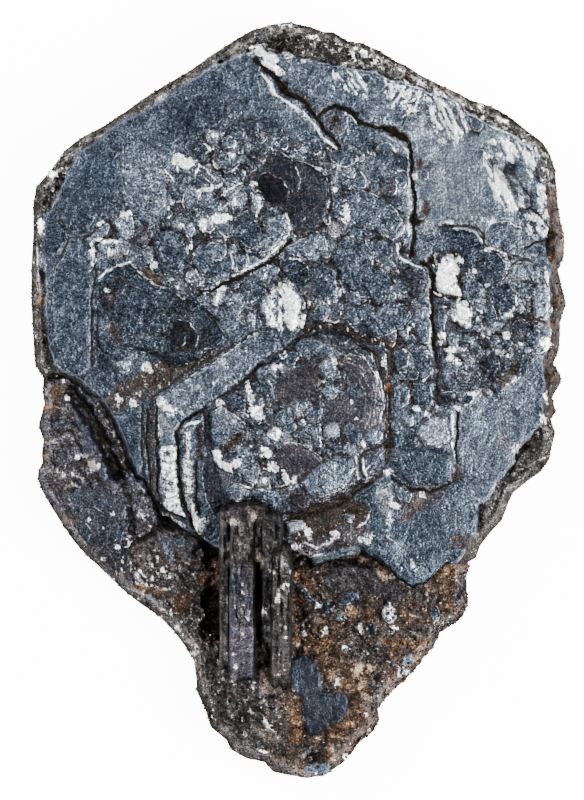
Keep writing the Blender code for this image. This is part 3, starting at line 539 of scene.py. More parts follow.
main.crack("306,352 318,346 334,350", -0.05, 3, tone=0.2, gleam=0.35)
for radius in (17, 22, 27):
    arc = [(298 + radius * math.cos(t / 10), 470 + radius * math.sin(t / 10)) for t in range(-21, -1, 2)]
    main.crack(arc, -0.05, 2.2, gleam=0.35, tone=0.15)
for line in ("354,456 356,466 357,478", "361,458 364,468 366,477"):
    main.crack(line, -0.1, 3.4, gleam=1.0)
main.crack("270,388 263,397 266,406 258,412", 0.1, 4, crevice=0.6, drab=0.6)
main.dab(318, 425, 60, 56, 0, 16, tone=0.28)

# The hillock's left flank: two strips painted mirror-white as reflections and a ribbed one, between dark
# grooves and grey bands.
for line, deep, width, tone, crevice, drab in (
    ("152,400 151,440 152,475 156,500 166,516", 0.1, 9, -0.25, 0, 0.9),
    ("143,404 142,440 144,470 146,495 156,515 172,526 186,530", 0.2, 3, 0, 0.8, 0.6),
    ("148,408 147,440 149,470 152,500 162,516 178,524", 0.3, 2.6, 0, 1.0, 0.6),
    ("157,410 157,450 158,490 163,504", 0.3, 3, 0, 0.9, 0.7),
    ("145,440 146,490", -0.05, 3, 0.35, 0, 0),
    ("255,333 240,342 222,352 204,361 186,372 168,386 152,398", 0.2, 3.6, 0, 0.65, 0.9),
    ("310,331 290,345 264,363 246,378 226,393 206,404", 0.2, 4, 0, 0.6, 0.9),
    ("206,406 196,414 184,422 177,432 178,450 180,476 184,500 192,520", 0.35, 4, 0, 1.1, 0.8),
    ("204,406 205,425 206,445", 0.2, 3, 0, 0.8, 0.8),
    ("198,428 199,442 200,456", 0.25, 8, 0, 0.8, 0.9),
    ("197,460 196,480 197,500 199,512", 0.35, 5, 0, 1.1, 0.9),
):
    main.crack(line, deep, width, tone=tone, crevice=crevice, drab=drab)
main.plate("203,458 210,452 216,470 222,492 224,506 214,514 206,500 202,478", 0.1, 3, 0.25, -0.7, 2.8,
    drab=0.6)
main.crack("163,404 168,407 172,410", -0.1, 13, gleam=1.5)
main.dab(166, 424, 9, 9, 0, 4, tone=0.35)
for shift in range(5):
    main.crack([(184, 402 + 4 * shift), (189, 402 + 4 * shift)], 0.03, 1.6, crevice=0.2)
main.plate("161,446 177,444 178,470 181,498 186,518 173,514 163,504 160,478", 0.1, 2, 0.2, 0.65, 0.6, 0.2,
    gleam=0.95)
main.streaks("160,446 178,444 184,514 163,504", 0.15, 233, 0.04, 2.6, 0.2, gleam=0.8)
main.crack("162,476 163,492 165,500", 0.03, 6, tone=0.15, gleam=-0.9)
for k in range(7):
    line = [(163, 451 + 9 * k), (170, 454 + 9 * k), (178, 450 + 9 * k)]
    main.crack(line, 0.03, 2, crevice=0.55 + 0.25 * (k % 2))
for x, y, across, down in (
    (167, 454, 2, 1.5), (168, 477, 1.5, 2), (170, 483, 3, 1.5), (165, 424, 2, 1.5), (164, 412, 9, 1.2),
):
    main.dab(x, y, across, down, hard=1.5, gleam=-1.2, crevice=0.6)
main.crack("188,434 188,460 189,490 193,516", -0.16, 9, tone=1.0, gleam=0.7, drab=0.75)
main.crack("186,427 192,422 199,422", -0.12, 4, gleam=1.3)
for k in range(8):
    main.crack([(184, 438 + 9 * k), (190, 441 + 9 * k), (194, 439 + 9 * k)], 0.03, 1.8, crevice=0.6)
main.crack("163,514 172,520 184,524", -0.1, 6, tone=0.4, gleam=0.6)
main.crack("176,528 186,533 194,540", -0.1, 4, gleam=0.8)
main.plate("194,524 202,516 212,520 208,530 200,536 194,532", 0.15, 2.5, 0.6, 0.6, -1.5, gleam=0.5)
main.dab(196, 520, 4, 5, 0, 2, gleam=1.1)
main.crack("190,516 193,524 200,538 212,548", 0.3, 3, crevice=1.0)
main.crack("158,502 170,512 184,518", 0.3, 2.6, crevice=1.0)

# The grooves on the hillock's right: a rough brown one above, a smooth one beside, a double one below.
main.crumbs("300,326 330,316 372,330 396,345 384,356 350,344 310,342", 240, 3, 0.12, tone=0.3, gleam=0.5)
main.crack("304,330 325,324 345,330 362,340 380,344 396,345", 0.22, 9, rust=0.12, crevice=0.55, drab=0.8)
main.crack("372,350 380,362 385,378 387,395", 0.15, 7, rust=0.2, crevice=0.45, drab=0.9)
main.crack("389,352 390,372 388,392 388,420 388,444", 0.3, 6, rust=0.4, crevice=0.5, drab=0.9)
main.dab(388, 388, 3, 5, tone=0.3, rust=0.5)
main.crack("386,442 376,448 362,452 358,462 362,476", 0.15, 3.5, crevice=0.7, drab=0.8)
main.crack("388,446 386,462 380,474 364,486 346,497 330,504 306,512 288,516", 0.25, 7, crevice=0.55, drab=0.9)
main.crack("378,466 360,480 340,492 318,500 300,508", -0.05, 2, tone=0.3, gleam=0.15)
main.crack("374,474 364,482 366,470 374,462", -0.05, 2.2, gleam=0.7)
main.dab(387, 473, 3, 4, gleam=1.0)

# The dark shield, the scales to its left made bright with painted highlights, and the step below them.
main.plate("252,178 258,171 268,164 271,156 280,153 292,160 306,163 322,172 328,180 330,196 329,214 322,225 "
    "310,233 298,238 291,236 290,222 284,208 270,206 262,194", 0.32, 3, 0.35, -0.6, -0.6, drab=0.45,
    scaly=0.3)
main.plate("302,196 314,192 325,198 326,216 312,222 302,216", 0.05, 2.5, 0.12, -0.5, drab=0.5, scaly=0.2)
main.plate("270,166 284,160 296,166 300,180 298,194 286,194 276,180", 0.1, 2.5, 0.3, -0.8, 0.2, drab=0.5,
    scaly=0.1)
main.plate("253,184 258,175 270,173 282,180 290,192 288,206 272,206 262,196", 0.12, 2.5, 0.25, -1.15, -0.6,
    drab=0.6, scaly=0.0)
main.plate("286,200 296,194 304,202 302,216 290,218 284,210", 0.06, 2.5, 0.12, -0.95, drab=0.5, scaly=0.1)
main.crack("298,232 308,236 318,230", 0.02, 10, tone=0.15, drab=0.6)
main.crack("328,176 330,190 331,206 328,222 318,230", 0.15, crevice=0.7, drab=0.5)
main.crack("304,163 313,167 322,171", -0.06, 3, tone=0.2, gleam=0.5)
main.crack("325,184 326,200 327,214", -0.05, 3, tone=0.2, gleam=0.3)
main.plate("331,196 338,190 344,200 350,214 344,224 334,218", 0.1, 2.5, 0.3, -0.2)
main.plate("184,196 190,186 197,184 202,192 199,206 192,214 185,212 181,204", 0.25, 3, 0.35, 0.15, 2.8)
main.plate("197,200 200,193 210,191 218,198 220,206 214,213 204,212 198,207", 0.26, 3, 0.8, 0.28, -2.0)
main.plate("223,198 226,190 236,187 246,191 248,202 242,212 232,210 226,205", 0.28, 3, 0.8, 0.25, -2.1)
main.plate("222,184 230,176 238,176 244,184 236,188 226,189", 0.22, 2.5, 0.3, 0.25)
main.plate("250,192 256,197 261,206 260,215 254,221 251,214 249,204", 0.25, 2.5, 0.9, 0.35, 0.3, gleam=0.15)
main.lobe(197, 212, 5, 5, 0.2, 0.9, 0.4, gleam=0.4)
main.plate("238,224 244,216 256,220 262,230 260,244 250,250 240,244 234,234", 0.14, 3, 0.2, -0.35)
main.plate("262,226 270,217 284,212 290,222 290,236 282,244 268,252 254,256 252,250 262,240", 0.28, 3, 0.7,
    0.4, 0.4)
main.crack("252,262 264,250 278,236", 0.06, 2.5, crevice=0.5)
main.crack("248,252 258,248 268,240", -0.06, 3, tone=0.3, gleam=0.4)
main.plate("193,254 199,246 212,240 224,241 231,252 233,268 229,281 217,288 206,286 198,277 192,265", 0.22, 3,
    0.4, -0.12, 2.6)
main.plate("204,250 208,241 218,238 226,243 228,254 222,262 211,261", 0.14, 3, 0.45, 0.22)
main.plate("232,258 238,252 248,254 252,264 244,272 234,274", 0.12, 3, 0.4, 0.1)
main.lobe(214, 283, 7, 6, 0.14, 0.6, 0.2)
main.plate("186,226 192,222 196,232 192,240 185,238", 0.12, 2.5, 0.3, 0.15)
for line, deep, width, gleam in (
    ("200,166 208,172 216,180", -0.06, 3, 1.0), ("198,192 208,190 219,190", -0.08, 4.5, 1.3),
    ("222,196 226,190 234,188", -0.08, 3.5, 1.2), ("214,212 222,210 229,204", -0.05, 2.6, 0.8),
    ("259,200 260,208 257,216", -0.08, 3.5, 1.3), ("286,214 289,224 289,236", -0.12, 4, 1.1),
    ("232,256 233,266 232,276", -0.1, 3.2, 0.9),
):
    main.crack(line, deep, width, gleam=gleam)
main.crack("262,174 276,176 286,184 293,193", -0.05, 1.8, tone=0.4, gleam=0.35)
main.crack("284,174 296,180 298,190", -0.05, 1.8, tone=0.4, gleam=0.4)
main.crack("252,172 262,166 268,158", -0.05, 2.5, tone=0.4, gleam=0.4)
# White spots of painted highlight.
for x, y, across, down in (
    (181, 164, 8, 7), (190, 165, 4, 4), (221, 220, 11, 4.5), (232, 157, 4, 3), (253, 185, 3, 3),
    (203, 226, 4, 6), (335, 191, 3, 3), (345, 214, 4, 9), (215, 136, 3, 3), (182, 226, 3, 3),
    (205, 292, 4, 3), (218, 297, 4, 4), (222, 288, 5, 3), (192, 282, 2, 2), (336, 168, 3, 3),
    (236, 203, 3, 3),
):
    main.dab(x, y, across, down, hard=3, rise=0.06, gleam=1.2, crevice=-0.4, drab=-0.3)
main.crack("200,293 214,290 228,284 245,275 262,266 278,256 291,240", 0.3, 3.6, crevice=1.4, drab=0.6)
main.crack("232,278 246,271 258,264 272,254 286,241", -0.15, 4, tone=0.3, gleam=0.9)

# Scales between the hillocks, one of them painted mirror-white as a reflection.
main.plate("280,250 300,239 316,231 326,240 328,253 315,263 298,259", 0.14, 3, 0.3, 0.22, -1.2)
main.plate("278,262 286,258 300,259 308,266 311,280 304,286 292,283 284,272", 0.22, 3, 0.7, -0.62, -0.5)
main.plate("241,286 250,278 263,280 267,290 256,302 244,306 238,298", 0.2, 3, 0.25, -0.5)
main.plate("224,300 232,290 242,292 246,306 238,318 228,316", 0.16, 3, 0.2, 0.05)
main.plate("246,320 250,312 256,318 256,332 250,334", 0.1, 2.5, 0.3, 0.4)
main.plate("258,302 266,292 278,288 286,296 284,316 280,334 268,328 259,316", 0.24, 3, 0.3, 0.5, gleam=0.35)
main.plate("279,292 284,284 292,285 300,296 302,314 298,326 291,333 283,322 284,306", 0.28, 3, 0.3, 0.6,
    gleam=1.6)
main.streaks("256,286 300,282 306,322 282,340 256,320", 1.3, 243, 0.03, 1.6, tone=-0.6, gleam=-1.3)
main.streaks("257,298 286,288 285,334 262,324", 1.3, 245, 0.03, 1.7, 0.1, tone=0.4, gleam=1.3)
main.dab(277, 290, 8, 4, -0.6, 2, gleam=1.1)
main.dab(302, 322, 3, 6, 0.2, 1.5, gleam=1.1)
main.dab(276, 298, 4, 4, 0, 2, gleam=-0.4, drab=0.4)
main.crack("304,297 308,312 305,326 297,336", 0.2, 3, crevice=0.9)
main.plate("335,245 352,236 366,241 374,254 373,270 366,290 350,292 338,280 332,262", 0.26, 3, 0.55, -0.28,
    -0.6, 0.35, 11)
main.plate("366,268 380,267 389,278 393,292 386,305 372,303 364,290", 0.2, 3, 0.35, -0.3, -0.4)
main.plate("376,244 384,238 392,244 393,258 384,262 377,256", 0.12, 2.5, 0.2, -0.5)
main.plate("345,192 362,190 382,198 396,210 404,222 396,234 372,232 350,222", 0.16, 3, 0.35, 0.0, -0.7)
main.plate("310,270 322,262 334,272 338,290 326,302 314,296", 0.12, 3, 0.2, -0.45)
main.plate("372,312 386,301 403,303 411,318 400,330 384,338 370,338 364,325", 0.16, 3, 0.2, -0.12)
main.lobe(352, 316, 11, 10, 0.12, 0.25, -0.3)
main.lobe(322, 312, 9, 10, 0.12, 0.25, -0.1)
main.lobe(341, 338, 9, 7, 0.1, 0.3, -0.35, drab=0.4)
main.plate("399,264 412,266 422,274 427,286 424,298 414,302 405,292 397,280", 0.22, 3, 0.2, -0.55, rust=0.12,
    drab=0.5)
main.lobe(403, 288, 6, 6, 0.1, 0.45, -0.1)
main.plate("414,312 424,302 430,320 430,345 418,344 412,330", 0.12, 2.5, 0.3, 0.08)
main.plate("393,352 402,347 410,355 409,368 398,370 392,362", 0.14, 2.5, 0.45, -0.6, -0.4)
main.plate("411,352 420,350 428,358 430,374 424,382 413,374", 0.14, 2.5, 0.25, -0.55)
main.lobe(413, 375, 6, 6, 0.1, 0.3, -0.3)
main.plate("412,386 420,380 431,384 433,400 426,409 414,404", 0.14, 2.5, 0.2, -0.4)
main.plate("393,388 404,382 410,390 409,404 398,410 392,402", 0.16, 2.5, 0.35, -0.12, 0.4)
main.lobe(407, 420, 7, 7, 0.12, 0.5, 0.3)
main.lobe(396, 428, 6, 6, 0.1, 0.3, 0.1)
main.plate("404,432 412,428 418,434 414,442 406,440", 0.1, 2.5, 0.2, -0.7)
main.crack("396,246 399,258 410,263 420,268", -0.12, 4, tone=0.3, gleam=0.9)
main.dab(402, 250, 3, 7, 0, 2, crevice=0.9)

# Step lines and cracks: brown-black lines, dark with dirt and painted shade, most with a painted mirror-white
# highlight on the brink of the higher side.
main.crack("262,76 270,84 274,96 286,102 298,110 310,121 318,132 326,142 336,150", -0.18, 5.4, tone=0.5,
    gleam=1.1, drab=0.4)
main.crack("270,82 275,98 290,106 304,117 315,131", -0.05, 8, tone=0.3, gleam=0.4)
main.crack("271,84 273,94", -0.05, gleam=0.8)
main.crack("254,62 262,69 272,76 279,84 283,92 293,97 303,102 310,111 317,119 322,129 332,139 339,148", 0.4,
    4.2, crevice=1.6, drab=0.8)
main.crack("276,80 283,90 295,95 305,101 313,112", 0.15, 9, tone=-0.2, crevice=0.3, drab=1.0)
main.dab(284, 87, 4, 4, rise=-0.2, crevice=0.9, drab=0.8)
# White spots of painted highlight at the head of the step line, and a dark notch.
main.dab(256, 52, 10, 5, -0.25, 3, 0.1, gleam=1.5, crevice=-0.5, drab=-0.8)
main.dab(268, 61, 10, 8, 0.7, 3, 0.15, gleam=1.5, crevice=-0.5, drab=-0.8)
main.dab(277, 72, 7, 4, 0.6, gleam=0.9)
main.dab(256, 57, 5, 4, 0.5, 2, gleam=-1.6, crevice=0.6, drab=0.5)
main.dab(287, 56, 6, 5, gleam=0.8)
main.dab(302, 62, 2, 3, 0, 1.5, gleam=1.0)
main.plate("322,118 330,108 342,108 348,118 344,134 334,142 324,132", 0.06, 3, 0.2, -0.05, drab=0.6)
main.dab(334, 121, 3, 3, 0, 2, -0.2, crevice=1.0)
main.crack("344,114 350,118 356,124", -0.06, 3.5, gleam=0.8)
main.crack("346,120 347,132 350,142", -0.05, 3, gleam=0.5)
main.crack("319,117 326,110 336,107 345,111 352,116 358,122 368,127 380,128 390,132 398,137 408,141", 0.35,
    4.2, crevice=1.5, drab=0.7)
main.dab(354, 117, 6, 4, 0.4, 3, -0.2, crevice=0.9, drab=0.8)
main.dab(390, 132, 9, 4, 0.35, 3, -0.25, crevice=1.1, drab=0.7)
main.dab(403, 138, 6, 4, 0.4, 3, -0.2, crevice=1.0, drab=0.7)
main.crack("382,134 392,141 402,144 408,152", -0.08, 3.5, tone=0.4, gleam=0.6)
main.crack("402,128 404,121 409,115 420,112 432,105 438,98", 0.12, 2.4, crevice=0.7, drab=0.5)
main.crack("408,150 408,180 408,210 408,243", -0.12, 4, tone=0.6, gleam=0.35)
main.crack("409,143 411,155 412,170 411,180 414,198 413,215 414,238 411,257", 0.42, 4.2, crevice=1.5,
    drab=0.8)
main.plate("414,160 420,160 422,168 416,172", -0.15, 2, 0, -0.5, rust=0.55, crevice=0.4, drab=0.9)
main.plate("422,200 428,204 431,214 428,222 419,221 417,212", -0.15, 3, 0, -0.25, rust=0.35, drab=1.0)
main.dab(416, 221, 6, 5, rise=-0.25, crevice=1.0, drab=0.8)
main.lobe(424, 175, 5, 6, 0.05, 0.3, 0.2)
main.dab(427, 166, 6, 3, rise=-0.1, crevice=0.5, drab=0.5)
main.dab(414, 177, 3, 3, 0, 2, gleam=1.3)
main.lobe(421, 218, 5, 4, 0.05, 0.25, 0.2)
main.crack("400,252 410,254 414,256", 0.2, crevice=0.9, drab=0.6)
main.plate("414,240 422,236 432,242 433,256 425,264 416,258", 0.14, 3, 0.2, 0.35)
main.crack("428,274 428,300 429,345 430,360 431,406", -0.12, 3.6, tone=0.65, gleam=0.28)
main.crack("420,262 428,268 432,280 431,300 432,320 434,350", 0.4, 4, crevice=1.5, drab=0.8)
main.crack("434,345 437,366 436,380 437,404 430,412 422,418", 0.3, 4.5, rust=0.2, crevice=0.8, drab=0.9)
main.dab(433, 262, 8, 6, -0.6, 4, -0.2, rust=0.15, crevice=0.8, drab=0.9)
main.dab(434, 296, 4, 5, rust=0.15, crevice=0.7, drab=0.9)
main.crack("433,298 445,298 457,300", 0.2, 3.4, crevice=0.9, drab=0.7)
main.plate("437,310 442,304 446,312 444,340 438,340", 0.08, 2.5, 0.35, -0.05)
main.crack("452,412 452,424 451,434", -0.12, 4.4, gleam=1.3)
main.crack("452,442 453,450 454,458", -0.12, 4, gleam=1.2)
main.crack("456,412 457,430 455,446 456,462", 0.35, 4, crevice=1.1, drab=0.8)
main.dab(456, 474, 5, 9, rise=-0.15, crevice=0.75, drab=1.0)
main.crack("391,477 400,484 410,489 425,491 438,488 452,481", 0.3, 3.6, crevice=1.0, drab=0.8)

# Right of the long crack: scales painted mirror-white as reflections, and dark ones with painted highlights
# on their rims.
main.plate("433,276 438,262 444,254 452,253 456,262 458,274 457,284 460,292 452,297 442,295 435,288", 0.3, 3,
    0.2, 0.6, gleam=1.9)
main.streaks("430,250 462,250 464,298 432,298", 1.2, 247, 0.03, 1.6, tone=-0.6, gleam=-1.3)
main.dab(458, 277, 4, 4, 0, 2, gleam=-2.4, crevice=0.9, drab=0.7)
main.dab(455, 293, 6, 3, 0.5, 1.5, gleam=1.2)
main.crack("434,293 440,296 446,300", -0.05, 3, gleam=1.0)
main.dab(459, 260, 3, 3, 0, 2, gleam=1.1)
main.plate("445,312 451,304 460,301 468,308 470,322 465,329 456,324 448,322", 0.25, 3, 0.3, 0.55, gleam=0.35)
main.streaks("444,304 468,300 472,328 448,326", 1.3, 249, 0.03, 1.7, tone=0.3, gleam=1.2)
main.dab(463, 312, 6, 10, -0.25, 2.5, gleam=1.4)
main.dab(458, 318, 6, 3, 0, 2.5, gleam=1.0)
main.plate("446,334 454,330 464,334 468,346 460,354 448,346", 0.12, 2.5, 0.3, 0.15)
main.plate("441,360 450,352 458,364 454,384 446,388 441,376", 0.12, 2.5, 0.2, 0.1)
main.lobe(447, 396, 8, 6, 0.1, 0.5, -0.35, facing=-1.3)
main.plate("448,240 452,231 462,229 472,233 480,241 484,250 478,262 466,268 460,258 450,250", 0.24, 3, 0.4,
    -0.55, -1.0, drab=0.15)
main.plate("462,280 474,276 484,288 480,302 468,304 460,296", 0.16, 3, 0.15, -0.1)
main.plate("478,262 484,252 496,254 505,262 508,274 500,284 488,290 478,286 471,275", 0.26, 3, 0.5, -0.6,
    -0.2, 0.35, 10, drab=0.15)
main.crack("481,300 490,292 506,280", -0.04, 4, tone=0.45, drab=0.5)
main.plate("494,302 499,290 508,286 515,295 515,307 508,316 498,314", 0.2, 2.5, 0.7, -0.45, 0.1)
main.plate("483,312 488,304 495,308 497,320 491,329 484,324", 0.16, 2.5, 0.35, -0.25, 0.2)
main.plate("472,322 480,318 484,328 478,334 470,330", 0.1, 2.5, 0.3, 0.0)
main.lobe(470, 338, 8, 6, 0.1, 0.3, -0.15)
main.plate("482,232 490,223 508,221 521,230 522,244 510,250 494,248 484,243", 0.12, 3, 0.3, 0.1, -1.5)
main.plate("508,268 516,262 530,262 540,270 538,280 524,280 512,284", 0.14, 3, 0.35, 0.25, -1.2)
main.plate("529,288 538,284 548,288 548,306 542,316 532,320 530,304", 0.14, 3, 0.3, 0.35, 0.4)
main.streaks("538,262 549,258 549,316 540,318", 1.4, 251, tone=0.4, gleam=0.6)
main.plate("508,332 513,321 522,318 530,324 530,340 520,345 511,341", 0.18, 3, 0.4, -0.65, -1.4, drab=0.5)
main.plate("526,334 532,327 539,331 540,342 534,350 526,346", 0.16, 2.5, 0.35, -0.5, -0.6)
main.plate("491,349 498,345 504,353 500,360 493,356", 0.16, 2.5, 0.3, 0.8)
main.plate("452,384 454,374 464,368 474,371 482,380 478,388 462,390", 0.16, 3, 0.35, -0.22, -1.2, drab=0.6)
main.plate("480,366 484,356 494,356 499,366 494,376 484,376", 0.16, 2.5, 0.2, -0.6, drab=0.3)
main.plate("497,366 502,357 510,362 508,374 500,376", 0.12, 2.5, 0.2, -0.55, drab=0.4)
main.plate("484,386 490,378 496,384 492,392", 0.1, 2.5, 0.3, -0.45, drab=0.3)
main.plate("518,362 522,356 528,362 526,376 518,374", 0.08, 2.5, 0.1, -0.6)
main.crack("500,382 510,374 516,364", 0.08, 8, crevice=0.4, drab=0.9)
main.crack("440,228 452,225 466,226 478,229 482,236", 0.2, 3.6, rust=0.25, crevice=0.9, drab=0.8)
main.crack("452,229 464,229 474,233 481,242", -0.1, 3, tone=0.3, gleam=0.9)
main.crack("484,246 494,250 503,256 508,266", -0.06, 2.5, tone=0.2, gleam=0.6)
main.crack("500,330 508,322 518,315 530,316 544,324", 0.25, 4, rust=0.3, crevice=0.8, drab=0.9)
main.crack("513,290 515,300 512,310", -0.06, 2.6, gleam=0.7)
# White spots of painted highlight.
for x, y, across, down in (
    (441, 338, 2.5, 7), (453, 350, 7, 4), (449, 358, 4, 3), (456, 362, 4, 3), (458, 408, 4, 4),
    (471, 393, 4, 3), (505, 336, 4, 4), (544, 343, 4, 6), (519, 345, 2.5, 2.5), (473, 271, 2.5, 2.5),
    (504, 316, 2, 4), (436, 408, 2, 2), (486, 286, 2, 2), (487, 249, 3, 2), (545, 278, 2, 8),
    (416, 408, 3, 3), (425, 414, 4, 2), (448, 222, 4, 2), (490, 222, 6, 2),
):
    main.dab(x, y, across, down, hard=2.6, rise=0.06, gleam=1.25, crevice=-0.4, drab=-0.4)
main.plate("415,436 420,424 432,416 447,414 449,440 436,447 424,446", 0.26, 3, 0.3, 0.8)
main.plate("393,452 410,446 440,450 450,456 450,474 437,484 412,485 395,472", 0.2, 3.5, 0.1, -0.1)

# Streaky facets at the top and the upper right, painted mirror-white as reflections.
main.streaks("330,68 366,72 372,100 340,106 326,90", 0.9, 261, 0.06, 2.4, 0.25, tone=0.3, gleam=1.7)
main.streaks("380,78 404,84 432,92 430,106 404,122 388,112", 2.1, 263, 0.06, 2.4, 0.3, tone=0.3, gleam=1.8)
main.streaks("424,100 440,92 464,106 470,130 454,152 440,148 428,126", 1.15, 265, 0.06, 2.2, 0.3, tone=0.4,
    gleam=2.0)
main.streaks("478,144 492,136 520,140 540,160 532,180 514,176 500,160 490,160", 1.0, 267, 0.08, 2.2, 0.4,
    tone=0.45, gleam=2.0)
main.streaks("480,146 494,160 506,180 526,200 522,212 500,214 488,192 482,166", 1.05, 269, 0.1, 2.4, 0.6,
    tone=0.5, gleam=2.4)
main.streaks("514,215 534,212 548,226 548,240 530,240 520,228", 0.95, 271, 0.1, 2.4, 0.6, tone=0.5, gleam=2.4)
main.streaks("440,160 484,160 486,210 440,214", 1.5, 273, 0.02, tone=0.15)
main.plate("512,156 524,160 530,176 528,186 516,180 508,168", 0.03, 3, 0, 0.3, 0.6, 0.1)
for k in range(7):
    x, y = 483 + 5 * k, 150 + 6 * k + 4 * math.sin(2.6 * k)
    main.crack([(x, y), (x + 5, y + 11), (x + 12, y + 19 + 5 * math.sin(k))], 0.1, 2.4, crevice=0.75)
    line = [(436 + 6 * k, 104 + 3 * (k % 3)), (440 + 6 * k, 116), (447 + 6 * k, 130 + 5 * (k % 2))]
    main.crack(line, 0.04, 2, crevice=0.6)
for k in range(4):
    main.crack([(518 + 7 * k, 216), (524 + 7 * k, 226), (532 + 6 * k, 237)], 0.1, 2.4, crevice=0.7)
for x in (446, 453, 466, 484):
    main.crack([(x, 140), (x - 2, 165), (x + 1, 190), (x + 4, 214)], 0.04, 3, tone=-0.25)
main.dab(540, 196, 5, 9, 0, 4, gleam=1.1)
main.dab(542, 214, 4, 6, tone=0.5, gleam=0.8)
main.dab(531, 198, 6, 10, 0, 4, tone=-0.5)
main.crack("500,176 506,168 514,176 520,186 528,196 530,206", 0.15, 4, crevice=0.75, drab=0.5)
main.dab(509, 170, 6, 6, 0.6, 3, -0.1, tone=-1.1, gleam=-1.0)
main.crack("518,211 530,210 538,216 544,226 548,230", 0.15, 2.6, crevice=0.9, drab=0.5)
main.crack("524,248 534,243 548,241", 0.2, 3.6, crevice=1.0, drab=0.5)
main.dab(472, 131, 8, 5, 0, 4, -0.15, crevice=0.7, drab=0.8)
main.lobe(475, 125, 7, 8, 0.05, 0.3, 0.4)
main.dab(479, 214, 14, 3, crevice=0.5, drab=0.4)
main.dab(365, 82, 3.5, 4, 0, 2, -0.1, tone=-1.2, crevice=0.3)
main.dab(434, 142, 2, 3, 0, 2, crevice=0.8)
main.dab(407, 77, 3, 5, 0, 2, -0.3, rust=0.2, crevice=1.0)
main.plate("532,166 538,158 546,160 548,178 540,184 533,178", 0.35, 3, 0.3, -0.4, drab=0.9)
main.crumbs("532,150 548,152 550,186 534,186", 275, 3, 0.15, tone=0.4, gleam=0.6)
main.dab(547, 192, 2, 5, 0, 2, crevice=0.8)

# Lower right field: pale, stained yellow-brown in places, with a broken dull corner and a few painted
# highlights.
main.dab(528, 418, 9, 7, 0, 6, tone=0.1, rust=0.22)
main.dab(512, 424, 6, 4, 0, 4, rust=0.2)
main.dab(504, 440, 12, 6, 0.4, 6, rust=0.12, drab=0.6)
main.dab(508, 455, 5, 4, 0, 4, rust=0.25)
main.dab(514, 448, 5, 6, 0, 4, gleam=0.5)
main.crumbs("486,425 520,430 520,455 492,460", 281, 3, 0.05, tone=0.2, gleam=0.35)
main.streaks("486,456 512,470 498,492 482,480", 1.0, 283, 0.03, tone=0.2, gleam=0.5)
main.crumbs("490,480 512,476 506,510 484,500", 285, 3, 0.12, gleam=0.5, crevice=-0.3)
main.dab(534, 452, 16, 19, -0.5, 8, tone=-0.25, drab=0.6)
main.crack("516,452 514,464 506,478 498,492", 0.15, 3, crevice=0.8, drab=0.5)
main.crack("520,470 534,462 548,456", -0.1, 3, gleam=0.5, drab=0.3)
main.dab(539, 465, 4, 3, 0, 2, -0.15, crevice=0.9)
main.crumbs("535,386 550,384 552,418 538,416", 287, 2.6, 0.12, gleam=0.9, drab=0.6)
main.dab(542, 418, 3, 5, -0.5, gleam=0.9)
main.dab(390, 512, 3, 20, 0.05, 2, tone=0.2, gleam=0.75)
main.dab(382, 498, 8, 14, 0, 6, tone=0.5, drab=0.4)
main.streaks("366,486 392,480 392,500 374,506", 1.0, 289, 0.04, gleam=0.7)
main.plate("394,486 404,484 412,492 408,504 398,500", 0.1, 2.5, 0.3, 0.15)
main.dab(395, 505, 3, 3, 0, 2, gleam=1.1)
main.dab(420, 495, 4, 3, 0, 2, gleam=0.8)
main.dab(407, 516, 6, 3, rust=0.6, crevice=0.3)
main.dab(416, 504, 4, 7, rust=0.35, drab=0.7)
main.crack("386,536 394,542 398,548", -0.06, 2, gleam=0.6)
main.dab(461, 541, 11, 8, 0, 6, rust=0.25, crevice=0.3, drab=0.8)
main.dab(445, 506, 5, 4, gleam=0.5)
main.dab(451, 520, 3, 8, crevice=0.4)
main.plate("362,552 374,542 392,540 404,550 412,562 424,560 436,552 452,548 466,548 458,566 440,572 424,586 "
    "408,588 398,580 380,562", 0.1, 4, 0.15, 0.08)
main.dab(413, 566, 2.5, 5, -0.4, 2, gleam=0.9)
main.crumbs("374,556 410,560 404,580 384,570", 291, tone=0.3, gleam=0.45)

# Scales in front of the hillock, beside the blades, over rusty ground, with painted highlights on their
# brinks and facets.
main.dab(325, 515, 34, 14, -0.35, 8, tone=-0.2, rust=0.12, crevice=0.3, drab=0.8)
main.dab(360, 515, 10, 14, 0, 6, tone=-0.3, rust=0.25, crevice=0.35)
main.plate("283,522 292,518 304,518 306,528 296,534 286,536", 0.35, 3, 0.8, 1.0, -1.4)
main.plate("311,562 320,552 336,548 352,544 362,548 356,558 340,568 324,572 313,569", 0.25, 3, 0.5, 0.7, 1.2)
main.lobe(348, 517, 6, 6, 0.16, 0.4, 0.35)
main.crack("358,526 366,522 369,512", -0.08, 4, gleam=0.7)
main.crack("306,543 316,547 328,543 336,537", -0.1, 5.4, tone=0.5, gleam=0.8)
main.crack("300,551 310,556 322,553", -0.1, 4, tone=0.4, gleam=0.7)
main.dab(336, 535, 4, 5, gleam=0.9)
main.dab(364, 540, 7, 4, gleam=0.9)
main.dab(307, 532, 4, 5, 0, 2, gleam=1.0)
main.dab(299, 547, 5, 4, gleam=0.8)
main.dab(306, 553, 5, 2.5, 0, 2, gleam=0.8)
main.dab(372, 535, 3, 4, 0, 2, gleam=0.7)
main.crack("296,541 306,537 318,533 330,528", 0.15, rust=0.45, crevice=0.6, drab=0.7)
main.crack("340,552 332,540 346,530", 0.12, 3, rust=0.3, crevice=0.6)
main.crack("290,512 305,516 320,512 345,500 370,482", 0.1, 6, crevice=0.4, drab=0.9)

